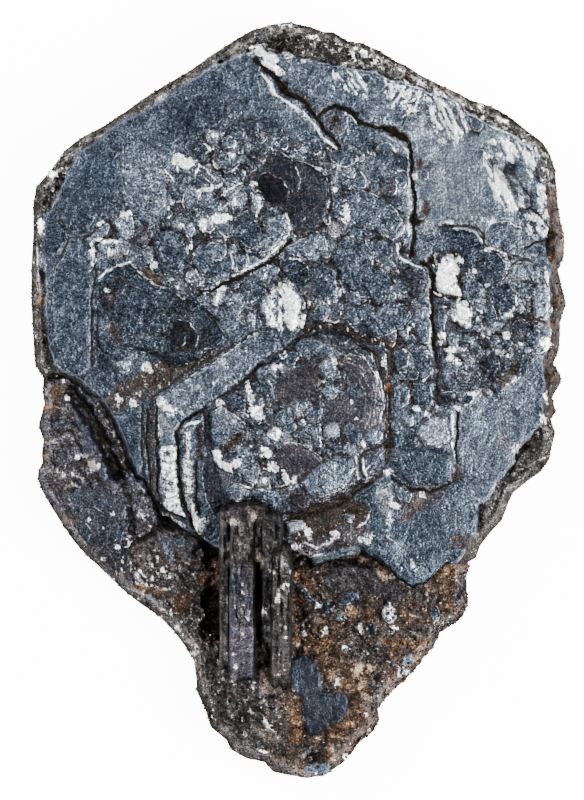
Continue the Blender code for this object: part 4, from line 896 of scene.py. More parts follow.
# The left edge: a thin band outside the face painted bright as a highlight, and weathered spots; rusty knobs
# down the right edge, each with a painted shadow below it.
main.crack("37,242 38,262 38,280", -0.05, 2.6, gleam=0.55, drab=-0.4)
main.dab(41, 227, 4, 6, gleam=1.2, drab=-0.5)
main.dab(41, 300, 6, 6, rust=0.85)
main.crumbs("36,190 60,160 76,158 74,178 60,186 48,210 46,232 36,232", 293, 2.8, 0.16, tone=0.4, gleam=0.75)
main.dab(52, 175, 4, 2.5, 0, 2, gleam=1.3)
main.dab(280, 42, 12, 9, 0, 4, -0.25, gleam=-0.6, crevice=0.9)
# White spots of painted highlight along the top edge.
for x, y, across, down in (
    (314, 38, 4, 3), (362, 55, 4, 3), (374, 64, 3, 3), (352, 57, 3, 4), (480, 107, 3, 2), (505, 121, 4, 2),
):
    main.dab(x, y, across, down, hard=2, gleam=1.3, drab=-0.5)
main.crumbs("288,30 330,36 390,62 400,78 340,64 300,52", 295, 3, 0.16, tone=0.4, gleam=0.5)
main.streaks("440,92 470,100 520,128 546,156 530,150 500,126 460,104", 0.6, 297, 0.1, tone=0.4, gleam=0.3)
for x, y, across, down in (
    (560, 244, 5, 18), (562, 300, 5, 12), (557, 378, 5, 12), (553, 409, 4, 9), (556, 340, 3, 12),
):
    main.dab(x, y, across, down, hard=4, rust=0.3, rise=0.2, tone=0.1)
    main.dab(x - 2, y + 0.8 * down, across, 3, hard=2, crevice=0.7)
main.dab(549, 326, 4, 6, rust=0.4)


def place(x, y, z):
    """Sheet points and heights in millimetres, as metres in the specimen's frame."""
    return np.stack([(x - CENTRE_X) * UNIT, (CENTRE_Y - y) * UNIT, z * 0.001 + 0 * x], axis=-1)


def solid(name, spots, faces, paint, sharp):
    """An object with the points, faces and paint given, smooth but for edges of more than sharp degrees."""
    mesh = bpy.data.meshes.new(name)
    mesh.from_pydata(spots, [], faces)
    for key, values in paint.items():
        mesh.attributes.new(key, "FLOAT", "POINT").data.foreach_set("value", values)
    mesh.shade_smooth()
    mesh.set_sharp_from_angle(angle=math.radians(sharp))
    thing = bpy.data.objects.new(name, mesh)
    bpy.context.scene.collection.objects.link(thing)
    return thing


def body(name, sheet, centre, floor, rings, striation, seed):
    """
    A closed crystal: the sheet's relief in front, a striated edge of rings, each a share of the way up and
    so far in, and a back that follows floor(x, y). Down the edge the paint fades to a dull worn one, the
    painted highlights soonest, and over the back it is dull and mottled.
    """
    rows, cols = sheet.keep.nonzero()
    wide = sheet.x.shape[1]
    a = rows * wide + cols
    quads = np.stack([a, a + wide, a + wide + 1, a + 1], axis=1)
    used = np.unique(quads)
    number = np.full(sheet.x.size, -1)
    number[used] = np.arange(len(used))
    quads = number[quads]
    x, y, z = (part.ravel()[used] for part in (sheet.x, sheet.y, sheet.z))
    pairs = set(zip(quads.ravel().tolist(), np.roll(quads, -1, axis=1).ravel().tolist()))
    after = {p: q for p, q in pairs if (q, p) not in pairs}
    loop = [min(after)]
    while after[loop[-1]] != loop[0]:
        loop.append(after[loop[-1]])
    assert len(loop) == len(after)
    count, ring_x, ring_y, ring_z = len(loop), x[loop], y[loop], z[loop]
    along = np.concatenate([[0], np.cumsum(np.hypot(np.diff(ring_x), np.diff(ring_y)))])
    spots, faces, tops = [place(x, y, z)], quads.tolist(), loop
    front = {key: value.ravel()[used] for key, value in sheet.paint.items()}
    paint = {key: [value] for key, value in front.items()}
    back = floor(ring_x, ring_y)
    worn = {"drab": 0.9, "crevice": 0.3, "rust": 0.08, "scaly": 0.4}
    swing = {"tone": 0.5, "crevice": 0.3, "rust": 0.5, "drab": 0.6}
    total = len(x)
    reach = np.hypot(ring_x - centre[0], ring_y - centre[1])
    for share, inset in rings:
        level = back + (ring_z - back) * share
        lines = ripple(along, level * 40, 26, seed) + 0.7 * ripple(along, level * 90, 12, seed + 1)
        pull = inset + striation * lines * min(1.0, 6 * (1 - share))
        scale = 1 - np.maximum(pull, 0) / reach
        px, py = centre[0] + (ring_x - centre[0]) * scale, centre[1] + (ring_y - centre[1]) * scale
        spots.append(place(px, py, level))
        for key, values in paint.items():
            fade = share ** 9 if key in ("gleam", "lit", "cleft") else share ** 1.5
            values.append(front[key][loop] * fade + worn.get(key, 0) * (1 - fade))
        now = list(range(total, total + count))
        faces += [(tops[(k + 1) % count], tops[k], now[k], now[(k + 1) % count]) for k in range(count)]
        tops, total = now, total + count

    # The back is filled with scattered points, so that it can follow the floor.
    dice = np.random.default_rng(seed)
    tries = 4000
    inner = [dice.uniform(px.min(), px.max(), tries), dice.uniform(py.min(), py.max(), tries)]
    inner = np.stack(inner, axis=1)
    border = list(zip(px.tolist(), py.tolist()))
    inner = inner[depth(border[::4], inner[:, 0], inner[:, 1]) > 5]
    joins = [(k, (k + 1) % count) for k in range(count)]
    made, _, sides, origin, *_ = delaunay_2d_cdt(border + inner.tolist(), joins, [], 1, 1e-4)
    assert len(made) == count + len(inner)
    seen = {old: new for new, olds in enumerate(origin) for old in olds}
    back_number = {seen[k]: tops[k] for k in range(count)}
    extra = [k for k in range(len(made)) if k not in back_number]
    back_number.update((old, total + k) for k, old in enumerate(extra))
    far_x, far_y = (np.array([made[k][axis] for k in extra]) for axis in (0, 1))
    spots.append(place(far_x, far_y, floor(far_x, far_y)))
    for key, values in paint.items():
        cloud = ripple(far_x, far_y, 52, len(key)) + 0.4 * ripple(far_x, far_y, 17, len(key) + 3)
        values.append(worn.get(key, 0.0) + swing.get(key, 0.0) * cloud)
    spots = np.concatenate(spots)
    for face in sides:
        p, q, r = (back_number[k] for k in face)
        u, v = spots[q] - spots[p], spots[r] - spots[p]
        faces.append((p, q, r) if u[0] * v[1] - u[1] * v[0] < 0 else (p, r, q))
    paint = {key: np.concatenate(values).astype("f") for key, values in paint.items()}
    return solid(name, spots.tolist(), faces, paint, 62)


def main_back(x, y):
    """The back: a broad flat terrace to lie on, with two shallow recesses, inside a raised border."""
    terrace = (
        "196,120 292,86 392,122 490,172 508,250 504,396 442,500 352,558 262,566 182,508 112,402 92,300 98,196"
    )
    z = 0.6 - 0.6 * np.clip(depth(terrace, x, y) / 4, 0, 1)
    z += 0.45 * np.clip(depth("180,190 236,176 262,214 226,250 178,236", x, y) / 3, 0, 1)
    z += 0.55 * np.clip(depth("360,300 430,290 448,340 410,388 356,366", x, y) / 3, 0, 1)
    return z + 0.05 * np.abs(ripple(x, y, 6, 41))


main_crystal = body(
    "main_crystal", main, (298, 318), main_back,
    [
        (0.98, 0.3), (0.92, 0.7), (0.85, 0.2), (0.76, 0.1), (0.67, 1.0), (0.58, 0.7), (0.48, 2.0),
        (0.38, 1.8), (0.28, 4.0), (0.18, 5.0), (0.09, 8.0), (0.0, 14.0),
    ],
    0.9, 31,
)

# The finish of all the hematite: steel-blue metal with a dense fine grain of pits and painted sparkling
# specks, painted near-white reflections on clean facets, brown-black in cracks from dirt and painted shade,
# and matte rust-brown and ochre where it has weathered.
hematite = bpy.data.materials.new("hematite")
hematite.use_nodes = True
wiring = hematite.node_tree
shader = wiring.nodes["Principled BSDF"]


def node(kind, sockets, **settings):
    """A new node with the settings given, and a number or a link for each socket named."""
    made = wiring.nodes.new("ShaderNode" + kind)
    for name, value in settings.items():
        setattr(made, name, value)
    for key, value in sockets.items():
        if isinstance(value, bpy.types.NodeSocket):
            wiring.links.new(value, made.inputs[key])
        else:
            made.inputs[key].default_value = value
    return made


here = node("TexCoord", {}).outputs["Object"]


def painted(key):
    """The paint of one kind that the mesh carries."""
    return node("Attribute", {}, attribute_name=key).outputs["Fac"]


def noise(scale, detail, rough, where=here):
    """Soft noise from 0 to 1, its bumps scale to the metre."""
    sockets = {"Vector": where, "Scale": scale, "Detail": detail, "Roughness": rough}
    return node("TexNoise", sockets).outputs["Fac"]


def cells(scale, where, feature="F1", output="Color"):
    """Many-sided cells, scale to the metre: a random colour for each, or the distance to its edge."""
    return node("TexVoronoi", {"Vector": where, "Scale": scale}, feature=feature).outputs[output]


def math_node(operation, a, b=0.0, clamp=False):
    return node("Math", {0: a, 1: b}, operation=operation, use_clamp=clamp).outputs[0]


def times(a, b, clamp=False):
    return math_node("MULTIPLY", a, b, clamp)


def minus(a, b, clamp=False):
    return math_node("SUBTRACT", a, b, clamp)


def most(a, b):
    return math_node("MAXIMUM", a, b)


def plus(base, value, factor):
    """The base with a value added, times a factor."""
    return node("Math", {0: value, 1: factor, 2: base}, operation="MULTIPLY_ADD").outputs[0]


def stir(base, field, amount):
    """The base, moved up and down by a noise about its middle."""
    return plus(base, minus(field, 0.5), amount)


def span(value, low, high, out_low=0.0, out_high=1.0):
    """The value, fitted from one range to another."""
    sockets = {"Value": value, "From Min": low, "From Max": high, "To Min": out_low, "To Max": out_high}
    return node("MapRange", sockets).outputs["Result"]


def close(value, middle, inner, outer, high=1.0):
    """High where the value is within inner of the middle, fading to nothing at outer."""
    return span(math_node("ABSOLUTE", minus(value, middle)), inner, outer, high, 0.0)


def shades(value, places, *colours):
    """A colour for each value, from dark to pale."""
    made = node("ValToRGB", {"Fac": value})
    marks = made.color_ramp.elements
    while len(marks) < len(colours):
        marks.new(0.5)
    for mark, at, colour in zip(marks, places, colours):
        mark.position, mark.color = at, (*colour, 1)
    return made.outputs["Color"]


def mix(share, a, b):
    return node("Mix", {"Factor": share, "A": a, "B": b}, data_type="RGBA").outputs["Result"]


tone, gleam, rust, crevice, drab, lit, cleft = map(painted, "tone gleam rust crevice drab lit cleft".split())
scaly = times(painted("scaly"), 1.0, clamp=True)
calm = span(painted("scaly"), -0.5, 0.2, 0.5, 1.0)
inward = minus(5.0, painted("fringe"))
grit, clots = noise(5800, 1, 0.5), noise(2700, 2, 0.6)
drift, patches = noise(700, 3, 0.6), noise(1100, 2, 0.6)

# Overlapping growth scales of two sizes: each has its own tone, a dark seam and here and there a painted
# highlight on its rim. The position is pushed about, so that the scales laid out on it get curved sides.
push = node("TexNoise", {"Vector": here, "Scale": 1500, "Detail": 2.0}).outputs["Color"]
bent = node("VectorMath", {0: push, 1: (0.0006, 0.0006, 0.0006), 2: here}, operation="MULTIPLY_ADD")
bent = bent.outputs[0]
edges, tints, seams, rims = [], [], [], []
for scale, dark, bright, middle, half, seam_field, seam_from, seam_to, rim_from, rim_to in (
    (700, 0.015, 0.07, 0.10, 0.045, patches, 0.38, 0.55, 0.60, 0.42),
    (1750, 0.03, 0.14, 0.16, 0.09, clots, 0.42, 0.60, 0.60, 0.44),
):
    edge = cells(scale, bent, "DISTANCE_TO_EDGE", "Distance")
    edges.append(edge)
    tints.append(minus(cells(scale, bent), 0.5))
    seams.append(times(span(edge, dark, bright, 1.0, 0.0), span(seam_field, seam_from, seam_to)))
    rims.append(times(close(edge, middle, 0.0, half), span(seam_field, rim_from, rim_to)))
seams = times(most(seams[0], times(seams[1], 0.6)), scaly)
rims = times(most(*rims), scaly)
tints = plus(times(tints[1], 0.45), tints[0], 0.55)

# The brinks of the larger growth layers: a hair-thin painted highlight on the rim and a fainter one inside
# it, both where the brink faces the light, and a painted shadow at its foot.
second = times(close(inward, 3.1, 0.15, 0.60, 0.45), span(patches, 0.45, 0.60))
brink = times(most(close(inward, 1.0, 0.25, 0.85), second), lit)
brink = times(brink, span(clots, 0.36, 0.60, 0.05, 1.25))
foot = span(math_node("ABSOLUTE", inward), 0.2, 0.9, 1.0, 0.0)
foot = times(foot, span(lit, 0.05, 0.25))

# Cracks: a crisp dark line of uneven width, or where the cleft is negative a bright one, a painted highlight.
hair = stir(math_node("ABSOLUTE", painted("split")), clots, 3.0)
hair = stir(hair, grit, 1.2)
hair = plus(hair, math_node("GREATER_THAN", 0.0, cleft), 0.3)
hair = plus(hair, minus(cleft, 0.9, clamp=True), -1.3)
hair = span(hair, 0.8, 1.5, 1.0, 0.0)
dark_line, bright_line = (times(hair, times(cleft, sign, clamp=True)) for sign in (1.0, -1.0))

# How pale each spot is, from its grain, its fine swirling growth lines, its streaks and its paint, with
# painted highlights on brinks, bright crack lines and scale rims, and fine painted sparkling specks.
swirl = noise(1500, 2, 0.5, bent)
streak_turn = node("Mapping", {"Vector": here, "Rotation": (0, 0, 0.42), "Scale": (3600, 620, 620)})
comb = noise(1.0, 2, 0.6, streak_turn.outputs["Vector"])
value = times(minus(grit, 0.5), 0.85)
value = stir(value, clots, 0.24)
value = stir(value, comb, 0.30)
value = plus(value, close(swirl, 0.53, 0.004, 0.020), 0.15)
value = plus(value, close(swirl, 0.46, 0.004, 0.020), -0.14)
value = plus(0.485, value, calm)
value = plus(value, brink, 0.42)
value = plus(value, bright_line, 0.38)
value = stir(value, drift, 0.45)
value = plus(value, times(tints, scaly), 0.50)
value = plus(value, rims, 0.34)
value = plus(value, span(noise(3900, 1, 0.5), 0.62, 0.74), times(calm, 0.22))
value = plus(value, tone, 0.30)

# Clean metal is steel-blue, and dull metal brown-grey or, where it isn't quite so dull, smoky violet.
levels = (0.0, 0.30, 0.50, 0.70, 0.86, 1.0)
steel = shades(
    value, levels, (0.003, 0.004, 0.006), (0.012, 0.016, 0.023), (0.030, 0.040, 0.057),
    (0.083, 0.102, 0.132), (0.19, 0.22, 0.26), (0.55, 0.59, 0.64),
)
dull = shades(
    value, levels, (0.003, 0.003, 0.003), (0.013, 0.0125, 0.012), (0.031, 0.030, 0.0285),
    (0.080, 0.077, 0.072), (0.19, 0.185, 0.172), (0.55, 0.545, 0.52),
)
smoky = shades(
    value, levels, (0.003, 0.003, 0.004), (0.013, 0.0115, 0.0145), (0.031, 0.0275, 0.0335),
    (0.079, 0.072, 0.083), (0.19, 0.18, 0.20), (0.55, 0.54, 0.56),
)
dull = mix(span(drab, 0.78, 0.95), smoky, dull)
worn = span(stir(stir(drab, drift, 1.0), clots, 1.1), 0.25, 0.75)
metal = mix(worn, steel, dull)

# Hollows hold brown-black grains and painted shade, darkest where they are deep, and thin cracks are almost
# black.
shade = stir(plus(plus(crevice, foot, 0.5), seams, 0.4), clots, 1.2)
shade = span(stir(shade, grit, 0.7), 0.12, 0.95)
depths = span(plus(grit, crevice, -0.12), 0.38, 0.58)
metal = mix(shade, metal, mix(depths, (0.006, 0.005, 0.004, 1), (0.042, 0.034, 0.026, 1)))
metal = mix(dark_line, metal, (0.010, 0.008, 0.006, 1))
shade = most(shade, dark_line)

# Weathered stone is crumbly brown soil with ochre, and patches of orange rust.
crumb = noise(2600, 3, 0.7)
weathered = span(stir(rust, crumb, 2.0), 0.22, 0.72)
earth = plus(stir(0.42, grit, 1.1), tone, 0.24)
earth = stir(stir(earth, crumb, 0.7), drift, 0.6)
levels = (0.10, 0.36, 0.54, 0.72, 0.90)
soil = shades(
    earth, levels, (0.008, 0.005, 0.004), (0.030, 0.016, 0.010), (0.075, 0.041, 0.023),
    (0.190, 0.120, 0.068), (0.52, 0.42, 0.29),
)
orange = shades(
    earth, levels, (0.011, 0.006, 0.003), (0.042, 0.018, 0.009), (0.105, 0.048, 0.022),
    (0.240, 0.130, 0.060), (0.58, 0.43, 0.27),
)
soil = mix(span(noise(1000, 2, 0.5), 0.56, 0.66), soil, orange)
metal = mix(weathered, metal, soil)

# Facets and rims that reflect the light are painted almost white as a painted reflection, broken up by the
# streaks and the grain, and cut by dark cracks.
ragged = math_node("ADD", times(grit, 2.6), times(clots, 2.2))
ragged = plus(ragged, comb, 2.8)
ragged = times(times(gleam, 1.6, clamp=True), minus(ragged, 3.8))
painted_reflection = math_node("ADD", math_node("ADD", gleam, ragged), times(minus(brink, 0.4), 0.6, clamp=True))
painted_reflection = plus(painted_reflection, bright_line, 0.75)
painted_reflection = times(span(painted_reflection, 0.40, 1.25), minus(1.0, dark_line))
rough_share = times(weathered, minus(1.0, painted_reflection))
sheen = plus(plus(plus(0.22, clots, 0.25), worn, 0.10), rough_share, 0.30)
height = plus(plus(times(grit, 0.7), clots, 0.6), comb, 0.5)
for edge, width, amount in zip(edges, (0.16, 0.20), (1.5, 0.5)):
    height = plus(height, times(span(edge, 0.0, width), scaly), amount)
bump = node("Bump", {"Strength": 0.8, "Distance": 0.00009, "Height": height})
for name, value in (
    ("Base Color", mix(painted_reflection, metal, (0.95, 0.96, 0.96, 1))), ("Metallic", plus(0.95, rough_share, -0.80)),
    ("Roughness", plus(sheen, shade, 0.20)), ("Normal", bump.outputs["Normal"]),
):
    wiring.links.new(value, shader.inputs[name])
shader.inputs["Specular Tint"].default_value = (0.25, 0.25, 0.27, 1)


def finish(piece):
    """Hangs a finished piece of hematite on the specimen's one body, in place of the plain crystal group."""
    if not piece.data.materials:
        piece.data.materials.append(hematite)
    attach(piece, "root")
    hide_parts("hematite_crystal_group")


finish(main_crystal)

# ---- Side crystal --------------------------------------------------------------------------------
# A smaller, darker tablet at lower left that stopped growing early, so it lies back behind a deep groove,
# black with painted shadow. Its smooth purple-grey face is framed by granular hematite with gold-brown
# stains and painted sparkling highlights.
SIDE = path("43,378 42,392 44,405 39,421 38,427 43,440 41,455 42,462 38,470 37,479 42,492 50,506 60,522 "
    "72,540 85,555 94,563 109,577 130,593 160,590 172,560 166,520 152,470 134,425 104,388 70,366")
side = Sheet(SIDE, 1.6)
x, y = side.x, side.y
side.z += 5.9 + 1.1 * np.clip(side.edge / 9, 0, 1) + 0.15 * ripple(x, y, 20, 51)
side.z += 0.18 * ripple(x, y, 7, 52) + 0.12 * ripple(x, y, 3.5, 53)
side.paint["drab"] += 0.62
side.paint["scaly"] += 0.6
# Painted shade along the outer edge, but not at the foot where the root is.
side.paint["crevice"] += 0.8 * np.clip(1 - side.edge / 6, 0, 1) * ramp(y, 572, -10)
side.paint["tone"] += -0.1 + 0.25 * ripple(x, y, 9, 54) - 0.2 * np.clip(1 - side.edge / 9, 0, 1)
side.paint["rust"] += 0.02 + 0.12 * ripple(x, y, 12, 55)
side.paint["crevice"] += 0.22 + 0.35 * ripple(x, y, 6, 56)
WHOLE = path("40,380 70,370 104,392 134,430 164,520 168,570 130,590 100,566 44,495")
side.crumbs(WHOLE, 301, 3.2, 0.08, gleam=0.2, tone=0.4)
side.plate("68,404 78,408 90,422 102,444 112,468 120,490 104,490 92,472 84,452 74,426", 0.2, 4, 0.0, 0.05,
    0.6, 0.15, drab=0.5, scaly=-0.3)
side.plate("64,500 78,486 100,486 118,490 126,508 127,538 110,550 88,546 72,530", 0.15, 4, 0.1, -0.25, 0.6,
    0.2, drab=0.5, scaly=0.3)
side.plate("53,450 60,446 70,448 72,460 66,470 56,468", 0.1, 3, 0.15, -0.4, drab=0.6)
side.plate("96,466 104,462 110,474 106,484 98,480", 0.1, 3, 0.1, 0.1, drab=0.4)
side.plate("54,416 66,414 72,424 66,432 54,430", 0.1, 3, 0.1, -0.3, drab=0.6)
side.dab(58, 396, 13, 12, 0, 6, 0.1, rust=0.6)
side.dab(49, 408, 6, 8, 0, 4, rust=0.6)
side.dab(47, 458, 4, 7, 0, 4, rust=0.65)
side.dab(47, 442, 5, 5, 0, 4, rust=0.4)
side.dab(72, 520, 9, 7, 0, 5, rust=0.35)
side.dab(60, 482, 12, 10, 0, 6, rust=0.15, drab=0.2)
side.crack("46,444 54,440 62,437 70,437 76,446", -0.05, 3, tone=1.0, rust=0.2)
side.crack("62,432 68,431 75,436 79,446", 0.08, 2.5, crevice=0.6)
side.crack("60,478 68,474 78,477 84,484", -0.05, 2.6, tone=1.0, rust=0.2)
side.crack("64,488 72,484 80,488", -0.05, 2.2, tone=0.9, rust=0.2)
side.dab(86, 455, 5, 3, 0, 2, tone=1.5, rust=0.3)
side.dab(92, 465, 4, 5, 0, 2, tone=1.5, rust=0.3)
side.dab(89, 461, 8, 8, crevice=0.2, drab=0.3)
side.dab(122, 562, 46, 22, 0.5, 12, tone=-0.4)
# White spots of painted highlight.
for x, y, across, down in (
    (77, 458, 3, 2), (67, 398, 2, 3), (63, 381, 2, 2), (98, 466, 2.5, 3), (64, 474, 2, 3), (74, 473, 2, 2),
    (57, 470, 2, 2), (104, 560, 3, 2), (118, 548, 3, 2), (88, 520, 2, 2), (104, 528, 2, 1.5),
    (112, 514, 2, 2),
):
    side.dab(x, y, across, down, hard=1.5, rise=0.04, gleam=1.1, drab=-0.3, crevice=-0.3)
for line in ("85,492 94,498", "94,508 101,512", "82,516 88,526 95,535", "70,500 74,508"):
    side.crack(line, -0.05, 2.0, gleam=0.45, tone=0.2)
side.streaks("128,482 145,480 148,512 133,516", 1.4, 309, 0.1, 2.4, tone=0.6, gleam=0.7)
side.crumbs("120,530 150,540 170,566 168,586 130,586 118,566", 305, 2.6, 0.12, tone=0.8, gleam=1.3, drab=0.3)
side.crumbs("132,486 146,484 160,530 158,546 138,540", 306, 2.6, 0.12, tone=0.5, gleam=0.9)
side.crack("60,512 74,532 90,550 104,564", 0.05, 8, tone=0.1, crevice=-0.2, drab=0.4)
side.crack("84,386 94,398 104,412 112,428 120,448 128,470", -0.1, gleam=0.15, crevice=0.1, drab=0.5)
side.crumbs("84,388 94,388 124,446 130,470 122,466 104,420", 307, 2.6, 0.1, tone=0.5, gleam=0.8)
# The groove behind the main crystal: a real hollow, dark with painted shadow.
side.crack("70,392 82,408 92,423 101,440 109,456 117,474", 0.6, 13, tone=-0.3, rust=-0.3, crevice=0.32,
    scaly=-0.5)
side.crack("74,390 86,406 97,422 106,440 114,457 122,476", 0.35, 6, rust=-0.3, crevice=0.45)
side.crack("120,474 126,492 130,512 132,532", 0.4, 6, tone=-0.2, rust=-0.3, crevice=0.4)
side_crystal = body(
    "side_crystal", side, (104, 484), lambda x, y: 0.7 + 0.1 * ripple(x, y, 9, 58),
    [
        (0.97, 0.3), (0.88, 0.8), (0.78, 0.2), (0.66, 1.2), (0.54, 0.9), (0.40, 2.6), (0.26, 3.4),
        (0.12, 6.0), (0.0, 11.0),
    ],
    0.8, 59,
)
finish(side_crystal)

# ---- Root ----------------------------------------------------------------------------------------
# The broken lower end where the specimen grew from its matrix. Granular hematite, weathered to rust, with
# ochre stains, a slate-grey smooth patch and a few blue crystal faces left in it. It thins to a rounded tip.
ROOT = path("109,577 122,590 141,605 160,618 173,632 185,648 193,661 196,683 196,692 205,712 210,728 226,742 "
    "230,751 246,760 264,764 273,774 288,777 306,780 325,777 335,770 345,763 352,755 358,745 373,733 380,721 "
    "378,710 391,693 403,683 413,673 424,658 434,647 440,633 452,625 463,617 468,605 467,590 467,574 470,566 "
    "452,536 380,520 300,516 220,516 160,518 122,540")
root = Sheet(ROOT, 1.6)
x, y = root.x, root.y
fall = ramp(y, 560, 220)
root.z += 6.0 + 2.0 * np.clip(root.edge / 12, 0, 1) - 2.3 * fall
root.z += 0.30 * ripple(x, y, 22, 61) + 0.28 * ripple(x, y, 9, 62) + 0.20 * ripple(x, y, 4.5, 63)
stain = ramp(x, 270, 30) * np.clip(0.9 + 0.9 * ripple(x, y, 24, 64), 0.15, 1)
root.paint["drab"] += 0.9
root.paint["scaly"] += 0.35
# Painted shade along the outer edge of the lower part.
root.paint["crevice"] += 0.8 * np.clip(1 - root.edge / 6, 0, 1) * ramp(y, 572, 12)
root.paint["rust"] += stain * (0.55 + 0.30 * ripple(x, y, 11, 65)) + 0.10
root.paint["rust"] += (1 - stain) * (np.clip(0.35 * ripple(x, y, 13, 66), 0, 1) - 0.08)
root.paint["tone"] += -0.1 + 0.3 * ripple(x, y, 8, 67) - 0.4 * np.clip(1 - root.edge / 9, 0, 1)
root.paint["crevice"] += 0.12 + 0.32 * ripple(x, y, 6, 68)
root.z -= 1.5 * ramp(y, 570, -12) * ramp(x, 272, 16) * ramp(x, 450, -16)
root.crumbs("286,540 470,540 470,620 350,770 290,780 270,700", 311, 3, 0.16, tone=0.6, gleam=0.3)
root.crumbs("110,560 250,540 290,700 280,775 200,720", 313, 3, 0.14, tone=0.5, gleam=0.4)
root.streaks("192,640 250,640 262,760 206,730", 1.5, 315, 0.12, tone=0.3, crevice=-0.2)
root.plate("158,532 166,530 172,540 176,556 178,568 170,566 164,556 160,544", 0.1, 4, 0.1, 0.12, 0.6, 0.1,
    drab=0.35)
root.plate("172,538 184,534 194,542 196,556 186,564 178,556", 0.1, 4, 0.1, -0.2, 0.6, 0.1, rust=0.35)
root.plate("131,570 137,569 143,578 149,588 144,592 136,584", 0.2, 3, 0.1, 0.35, drab=0.3)
root.plate("144,594 152,592 156,602 152,606 146,602", 0.1, 3, 0.1, 0.1, drab=0.3)
root.crack("136,568 142,575 148,582", 0.2, 4, crevice=0.9)
root.crack("139,569 146,577", -0.1, 3.4, gleam=0.9, rust=0.2)
root.dab(143, 590, 8, 5, 0.4, 4, tone=0.3, rust=0.8, crevice=-0.4)
root.dab(159, 590, 7, 5, 0, 4, tone=0.3, rust=0.6, crevice=-0.4)
root.dab(182, 606, 10, 12, 0, 6, -0.2, tone=-0.4, rust=0.55)
root.crumbs("150,556 172,560 178,582 160,582", 331, 2.4, 0.12, tone=0.8, gleam=1.2, rust=0.2)
root.crumbs("192,604 204,606 208,634 196,634", 333, 2.4, 0.12, tone=0.6, gleam=1.0)
# Painted shadow in two deep pockets left of the blades, over real hollows, with an ochre stain between them.
root.dab(212, 530, 9, 34, 0, 5, -1.0, tone=-0.3, gleam=-0.8, crevice=1.1)
root.dab(212, 612, 9, 28, 0, 5, -1.2, tone=-0.3, gleam=-0.8, crevice=1.2)
root.dab(206, 579, 9, 8, 0, 4, tone=0.5, rust=0.9, crevice=-0.4)
root.dab(216, 575, 5, 18, 0, 4, rust=0.45)
root.dab(297, 600, 5, 60, 0, 5, -0.5, rust=0.15, crevice=0.5)
root.dab(230, 700, 30, 60, 0.25, 16, tone=-0.35, rust=-0.2, drab=0.2)

# Smooth slate-grey and ochre patches, and the crystal faces left in the rust.
root.plate("290,656 305,652 318,660 322,676 325,690 345,690 352,703 346,718 332,728 318,737 304,736 300,718 "
    "299,700 288,692 286,674", 0.35, 4, 0.0, -0.1, 0.6, 0.1, drab=0.45, scaly=-0.6)
root.dab(302, 672, 15, 18, 0, 6, tone=0.05, drab=-0.12)
root.crack("322,694 330,697 336,694", 0.1, 2, crevice=0.8)
root.crack("300,708 312,714 326,722 334,718", 0.1, 2.5, crevice=0.6)
root.plate("256,668 272,664 288,664 289,684 280,694 258,696", 0.25, 4, 0.0, 0.25, 0.6, 0.2, rust=0.62)
root.crack("257,660 253,672 252,688", 0.05, 7, tone=0.2, crevice=-0.2, drab=-0.4)
root.dab(252, 679, 2, 2, 0, 1.5, -0.3, crevice=1.0)
root.crumbs("330,560 372,556 384,572 378,592 350,594 330,584", 317, 3, 0.12, gleam=0.35, crevice=0.3)
root.plate("318,574 334,563 352,560 374,566 390,578 402,592 386,602 366,596 350,602 334,596 322,588", 0.2, 6,
    0.0, -0.4, 0.6, 0.1, drab=0.85)
root.dab(356, 578, 26, 13, 0, 6, rust=-0.6, crevice=0.15)
root.dab(372, 604, 22, 12, 0.4, 6, tone=-0.2, rust=-0.5, crevice=0.2)
root.dab(410, 560, 12, 8, -0.6, 4, tone=0.2, rust=0.4)
root.plate("378,584 396,582 406,592 400,606 386,606 378,596", 0.2, 3, 0.1, -0.5, drab=0.8)
root.plate("288,583 294,578 306,588 316,600 320,607 312,604 300,596", 0.2, 2.5, 0.4, 0.35, drab=0.2)
root.plate("334,598 344,590 358,592 360,602 346,606 336,604", 0.25, 2.5, 0.3, 0.05)
root.plate("364,626 370,620 378,624 376,636 368,638", 0.2, 2.5, 0.3, -0.5)
root.plate("380,606 388,600 396,608 396,620 390,625 382,618", 0.35, 2.5, 0.5, 0.6, gleam=0.5)
root.plate("353,626 360,622 366,628 363,636 355,636", 0.3, 2.5, 0.4, 0.5, gleam=0.7)
root.plate("336,612 343,611 347,618 341,624 335,619", 0.2, 2.5, 0.2, 0.25)
root.plate("318,604 326,600 336,606 330,612 320,610", 0.15, 2.5, 0.3, -0.2)
root.plate("396,668 404,664 410,672 402,680 396,677", 0.2, 2.5, 0.3, 0.5, gleam=0.4)
root.plate("402,656 410,652 415,662 408,670 402,664", 0.2, 2.5, 0.3, 0.0)
root.plate("430,608 438,604 441,616 434,624 428,618", 0.2, 2.5, 0.3, 0.1)
